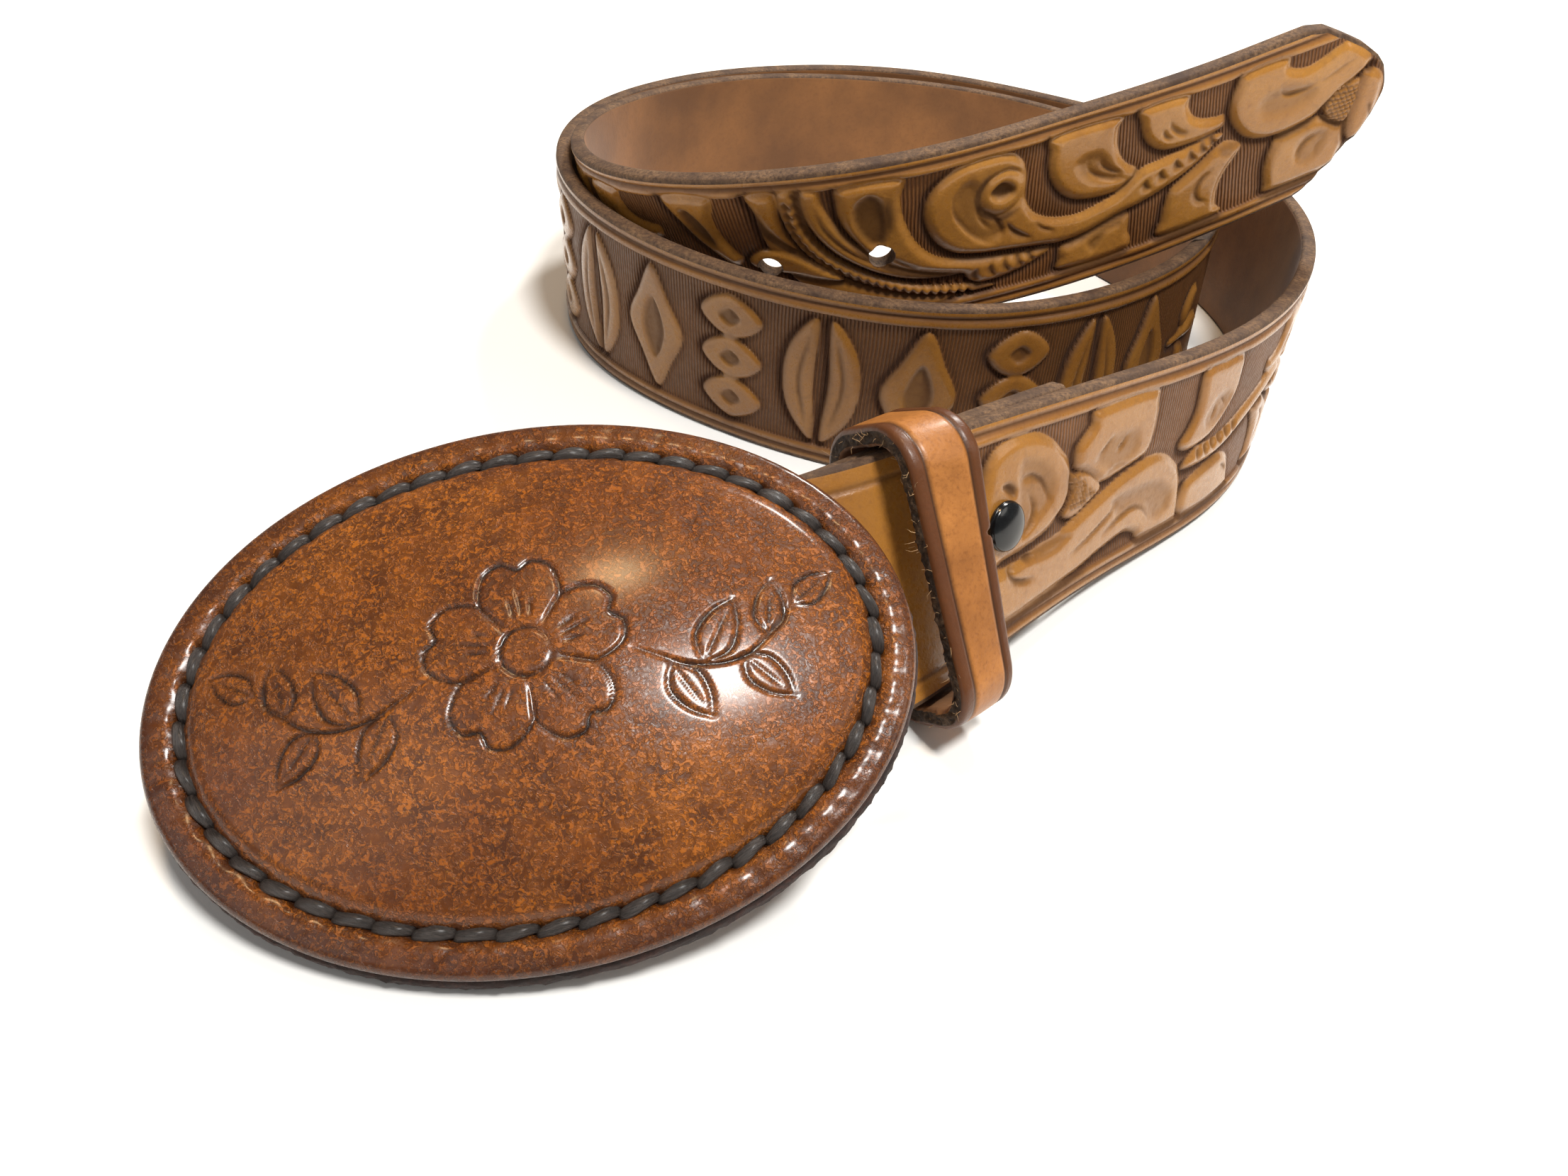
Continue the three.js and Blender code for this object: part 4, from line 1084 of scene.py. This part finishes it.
# Cuts of the drawing on the dome; a petal's points are radius and angle, a leaf's are parts of its length.
FIRM = {"depth": 0.35, "width": 0.3, "shade": 1}
FAINT = {"depth": 0.2, "width": 0.2, "shade": 0.7}
PETAL = (([(3.4, -30), (8.2, -36), (11.6, -22), (12.4, -9), (11.2, 0), (12.4, 9), (11.6, 22), (8.2, 36),
           (3.4, 30)], FIRM),
         ([(4.6, 0), (8.6, 2)], FAINT), ([(4.8, -12), (7.4, -10)], FAINT), ([(4.8, 12), (7.4, 11)], FAINT))
LEAF = (([(0, 0), (0.3, 0.24), (0.68, 0.2), (1, 0)], FIRM),
        ([(0, 0), (0.3, -0.24), (0.68, -0.2), (1, 0)], FIRM),
        ([(0, 0), (0.8, 0)], {**FAINT, "shade": 0.8}))
# Each leaf of a spray: its root, direction and length.
SPRAY = ((17, -3.4, -62, 8.4), (21, -4, 58, 9.4), (26, -3.6, -48, 8), (29.6, -1.4, 78, 7.6),
         (33.4, 2.4, 34, 7))


def rose(r):
    """Line drawing on the dome: an open five-petalled rose with a leafy spray on each side."""
    def around(radius, angle):
        return radius * math.cos(angle), 1 + radius * math.sin(angle)
    for k in range(5):
        a = math.radians(90 + 72 * k)
        for path, look in PETAL:
            r.line([around(radius, a + math.radians(turn)) for radius, turn in path], **look)
    r.line([around(3.1, a) for a in np.radians(np.linspace(0, 360, 13))], **FIRM)
    for side in (1, -1):
        r.line([(side * 12.6, -0.6), (side * 20, -4), (side * 27, -3.4), (side * 33.4, 2.4)], **FIRM)
        for s, v, degrees, long in SPRAY:
            c, n = math.cos(math.radians(degrees)), math.sin(math.radians(degrees))
            for path, look in LEAF:
                r.line([(side * (s + long * x * c - long * y * n), v + long * x * n + long * y * c)
                        for x, y in path], **look)


def disc_grid(cells):
    """Square grid of points drawn out onto a disc of radius 1."""
    u = np.linspace(-1, 1, cells + 1)
    a, b = np.meshgrid(u, u, indexing="ij")
    swap = np.abs(a) >= np.abs(b)
    with np.errstate(divide="ignore", invalid="ignore"):
        angle = np.where(swap, b / a * math.pi / 4, math.pi / 2 - a / b * math.pi / 4)
    angle = np.nan_to_num(angle)
    radius = np.where(swap, a, b)
    return radius * np.cos(angle), radius * np.sin(angle)


def buckle_cover():
    """Leather cover: its top as a fine grid, then rows of points down its side, and a plain underside."""
    disc_x, disc_y = disc_grid(COVER_CELLS)
    x, y = disc_x * (HALF_LONG - 0.02), disc_y * (HALF_SHORT - 0.02)
    inset = inset_at(x, y)
    turn = np.arctan2(y / HALF_SHORT, x / HALF_LONG)
    z = cover_height(x, y)
    z += 0.1 * np.sin(turn * 61) * np.sin(turn * 23 + 1) * bell(inset - 2.6, 1.3)
    z -= 1.1 * (1 - np.sqrt(1 - np.clip(1 - inset / 1.3, 0, 1) ** 2))
    r = Relief(x, y)
    rose(r)
    # Each stitch hole is pressed in and near black with painted shade; after the loop, a band of painted
    # shade runs along the stitch row under the thread
    for px, py in stitch_holes():
        at = np.nonzero((abs(x - px) < 2.5) & (abs(y - py) < 2.5))
        gap = np.hypot(x[at] - px, y[at] - py)
        z[at] -= 1.0 * bell(gap, 0.8)
        r.darken(at, 0.97 * bell(gap, 0.9, 4))
    r.dark = np.maximum(r.dark, 0.55 * bell(inset - STITCH_INSET, 0.95, 4))
    z += r.height
    # Painted shade: the cover darker towards its left and lower side; at the rim the darkening is partly
    # dye and partly painted shade
    shade = 0.55 * smooth(-disc_x, 0.2, 1) + 0.35 * smooth(-disc_y, 0.3, 1)
    edge = np.clip(0.8 * bell(inset, 2.6) + 0.5 * shade, 0, 1)
    grid = np.arange(x.size).reshape(x.shape)
    corners = (grid[:-1, :-1], grid[1:, :-1], grid[1:, 1:], grid[:-1, 1:])
    faces = np.column_stack([corner.ravel() for corner in corners]).tolist()
    ring = np.concatenate([grid[0, :-1], grid[:-1, -1], grid[-1, :0:-1], grid[:0:-1, 0]])
    points, last = [np.column_stack([x.ravel(), y.ravel(), z.ravel()])], ring
    for k, (row_inset, height) in enumerate(((0.0, -1.4), (0.05, -1.8), (0.2, -2.2), (0.6, -COVER_THICK))):
        points.append(oval(row_inset, turn.ravel()[ring], height))
        new = x.size + np.arange(len(ring)) + k * len(ring)
        faces += np.column_stack([last, np.roll(last, -1), np.roll(new, -1), new]).tolist()
        last = new
    faces.append(last.tolist())
    kinds = np.zeros(len(faces), np.int32)
    kinds[COVER_CELLS ** 2 + len(ring):] = 1
    points = np.vstack(points)
    added = len(points) - x.size
    layers = {"raised": np.append(edge, np.ones(added)),
              "dark": np.append(np.clip(r.dark, 0, 1), np.zeros(added))}
    obj = piece("buckle_cover_leather", on_buckle(points), faces, [COVER, RIM],
                face_material=kinds, layers=layers)
    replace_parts(obj, "buckle_cover")


def stitching():
    """Waxed cord in single stitches, each rising from one hole and going down at the next."""
    holes = stitch_holes()
    points, faces, way = [], [], []
    along, around = 22, 14
    past, sunk, rise = 0.06, 1.2, 1.65
    rng = np.random.default_rng(3)
    for k, start in enumerate(holes):
        d = holes[(k + 1) % STITCHES] - start
        side = np.array([d[1], -d[0]]) / np.linalg.norm(d)
        t = np.linspace(-past, 1 + past, along)
        slant = rng.normal(0.36, 0.08)
        middle = start + d * t[:, None] + side * (slant * (1 - 2 * t))[:, None]
        lift = np.sin(np.clip((t + past) / (1 + 2 * past), 0, 1) * math.pi) ** 0.55
        z = cover_height(middle[:, 0], middle[:, 1]) - sunk + rise * lift
        thick = THREAD_RADIUS * (0.72 + 0.28 * lift) * rng.normal(1, 0.04)
        first = len(points)
        faces += [[first + corner for corner in face] for face in tube_faces(along, around, flip=True)]
        for i in range(along):
            for j in range(around):
                a = 2 * math.pi * j / around
                twist = 1 + 0.09 * math.cos(2 * (a - 2.2 * t[i] + k))
                across, up = math.cos(a) * thick[i] * twist, math.sin(a) * thick[i] * 0.82 * twist
                points.append([*(middle[i] + side * across), z[i] + up])
                way.append([5 * t[i], a + 1.2 * t[i], k])
    piece("buckle_stitching", on_buckle(points), faces, [THREAD],
          layers={"place": np.array(way)})


def backing():
    """Leather layer under the cover, its cut edge a little proud and rough."""
    angles = np.linspace(0, 2 * math.pi, OVAL_POINTS, endpoint=False)
    top, bottom = -COVER_THICK - CLEAR + 0.25, -COVER_THICK - CLEAR - BACKING_THICK
    rows = [(3, top), (0.2, top), (-0.3, top - 0.3)]
    rows += [(-0.5, z) for z in np.linspace(top - 0.8, bottom + 0.6, 5)]
    rows += [(-0.1, bottom + 0.15), (0.6, bottom)]
    edge_rows = len(rows) - 1
    rows += [(i, bottom) for i in (4, 10, 18, 27)]
    rng = np.random.default_rng(5)
    points = []
    for inset, z in rows:
        rough = rng.normal(0, 0.09, OVAL_POINTS) if inset < 1 else 0
        points.append(oval(inset - rough, angles, z))
    kinds = [0 if k < edge_rows else 1 for k in range(len(rows) - 1) for _ in angles] + [0, 1]
    faces = tube_faces(len(rows), OVAL_POINTS, flip=True)
    obj = piece("buckle_backing_leather", on_buckle(np.vstack(points)), faces, [RIM, FLESH],
                face_material=kinds)
    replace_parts(obj, "buckle_backing")


buckle_cover()
stitching()
backing()

for name in ("buckle_bar", "buckle_hook"):
    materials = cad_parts[name].data.materials
    materials.clear()
    materials.append(STEEL)


# Studio: pale floor, soft lights and the photo's camera, in metres

FLOOR_HALF = 4
CORNERS = ((-1, -1), (1, -1), (1, 1), (-1, 1))

floor_mesh = bpy.data.meshes.new("floor")
floor_mesh.from_pydata([(FLOOR_HALF * x, FLOOR_HALF * y, 0) for x, y in CORNERS], [], [(0, 1, 2, 3)])
paper = Shade("paper", Roughness=0.85)
paper.link(paper.mix(paper.noise(6, 3), rgb(224, 224, 222), rgb(230, 230, 228)), "Base Color")
floor_mesh.materials.append(paper.material)
add_object("floor", floor_mesh)

world = bpy.data.worlds.new("studio")
bpy.context.scene.world = world
world.use_nodes = True
background = world.node_tree.nodes["Background"]
background.inputs["Color"].default_value = (1.0, 0.98, 0.95, 1)
background.inputs["Strength"].default_value = 0.2
bpy.context.scene.view_settings.view_transform = "Standard"

COIL, DOME_LEFT, DOME_RIGHT = (0, 0, 0.02), (-0.03, -0.1, 0.03), (-0.02, -0.1, 0.03)


def area_light(name, place, target, size, power, colour=(1, 1, 1)):
    data = bpy.data.lights.new(name, "AREA")
    data.shape, data.size, data.energy, data.color = "DISK", size, power, colour
    obj = add_object(name, data)
    obj.location = place
    obj.rotation_euler = (Vector(target) - Vector(place)).to_track_quat("-Z", "Y").to_euler()


# The first two mirror in the buckle's dome.
area_light("ceiling", (0.254, -0.428, 1.149), DOME_RIGHT, size=0.25, power=18, colour=(1.0, 0.98, 0.95))
area_light("warm", (-0.153, 0.041, 1.222), DOME_LEFT, size=0.15, power=3.5, colour=(1.0, 0.66, 0.34))
area_light("key", (0.3, 0.7, 0.95), COIL, size=0.2, power=12, colour=(1.0, 0.97, 0.92))
area_light("side", (0.9, -0.25, 0.65), COIL, size=0.5, power=1.6, colour=(1.0, 0.95, 0.88))
area_light("fill", (-0.7, -0.8, 0.8), COIL, size=0.9, power=2)

CAMERA_PLACE, PITCH, ROLL = (-0.0154, -0.226, 0.131), math.radians(37.68), math.radians(6.87)
FOCAL_PIXELS, PHOTO_PIXELS, SENSOR = 1733, 2212, 36

level, climb = Vector((1, 0, 0)), Vector((0, math.sin(PITCH), math.cos(PITCH)))
back = Vector((0, -math.cos(PITCH), math.sin(PITCH)))
right = level * math.cos(ROLL) + climb * math.sin(ROLL)
upward = -level * math.sin(ROLL) + climb * math.cos(ROLL)
lens = bpy.data.cameras.new("camera")
lens.sensor_width, lens.lens = SENSOR, FOCAL_PIXELS / PHOTO_PIXELS * SENSOR
lens.clip_start, lens.clip_end = 0.01, 20
camera = add_object("camera", lens)
camera.matrix_world = Matrix.Translation(CAMERA_PLACE) @ Matrix((right, upward, back)).transposed().to_4x4()
bpy.context.scene.camera = camera
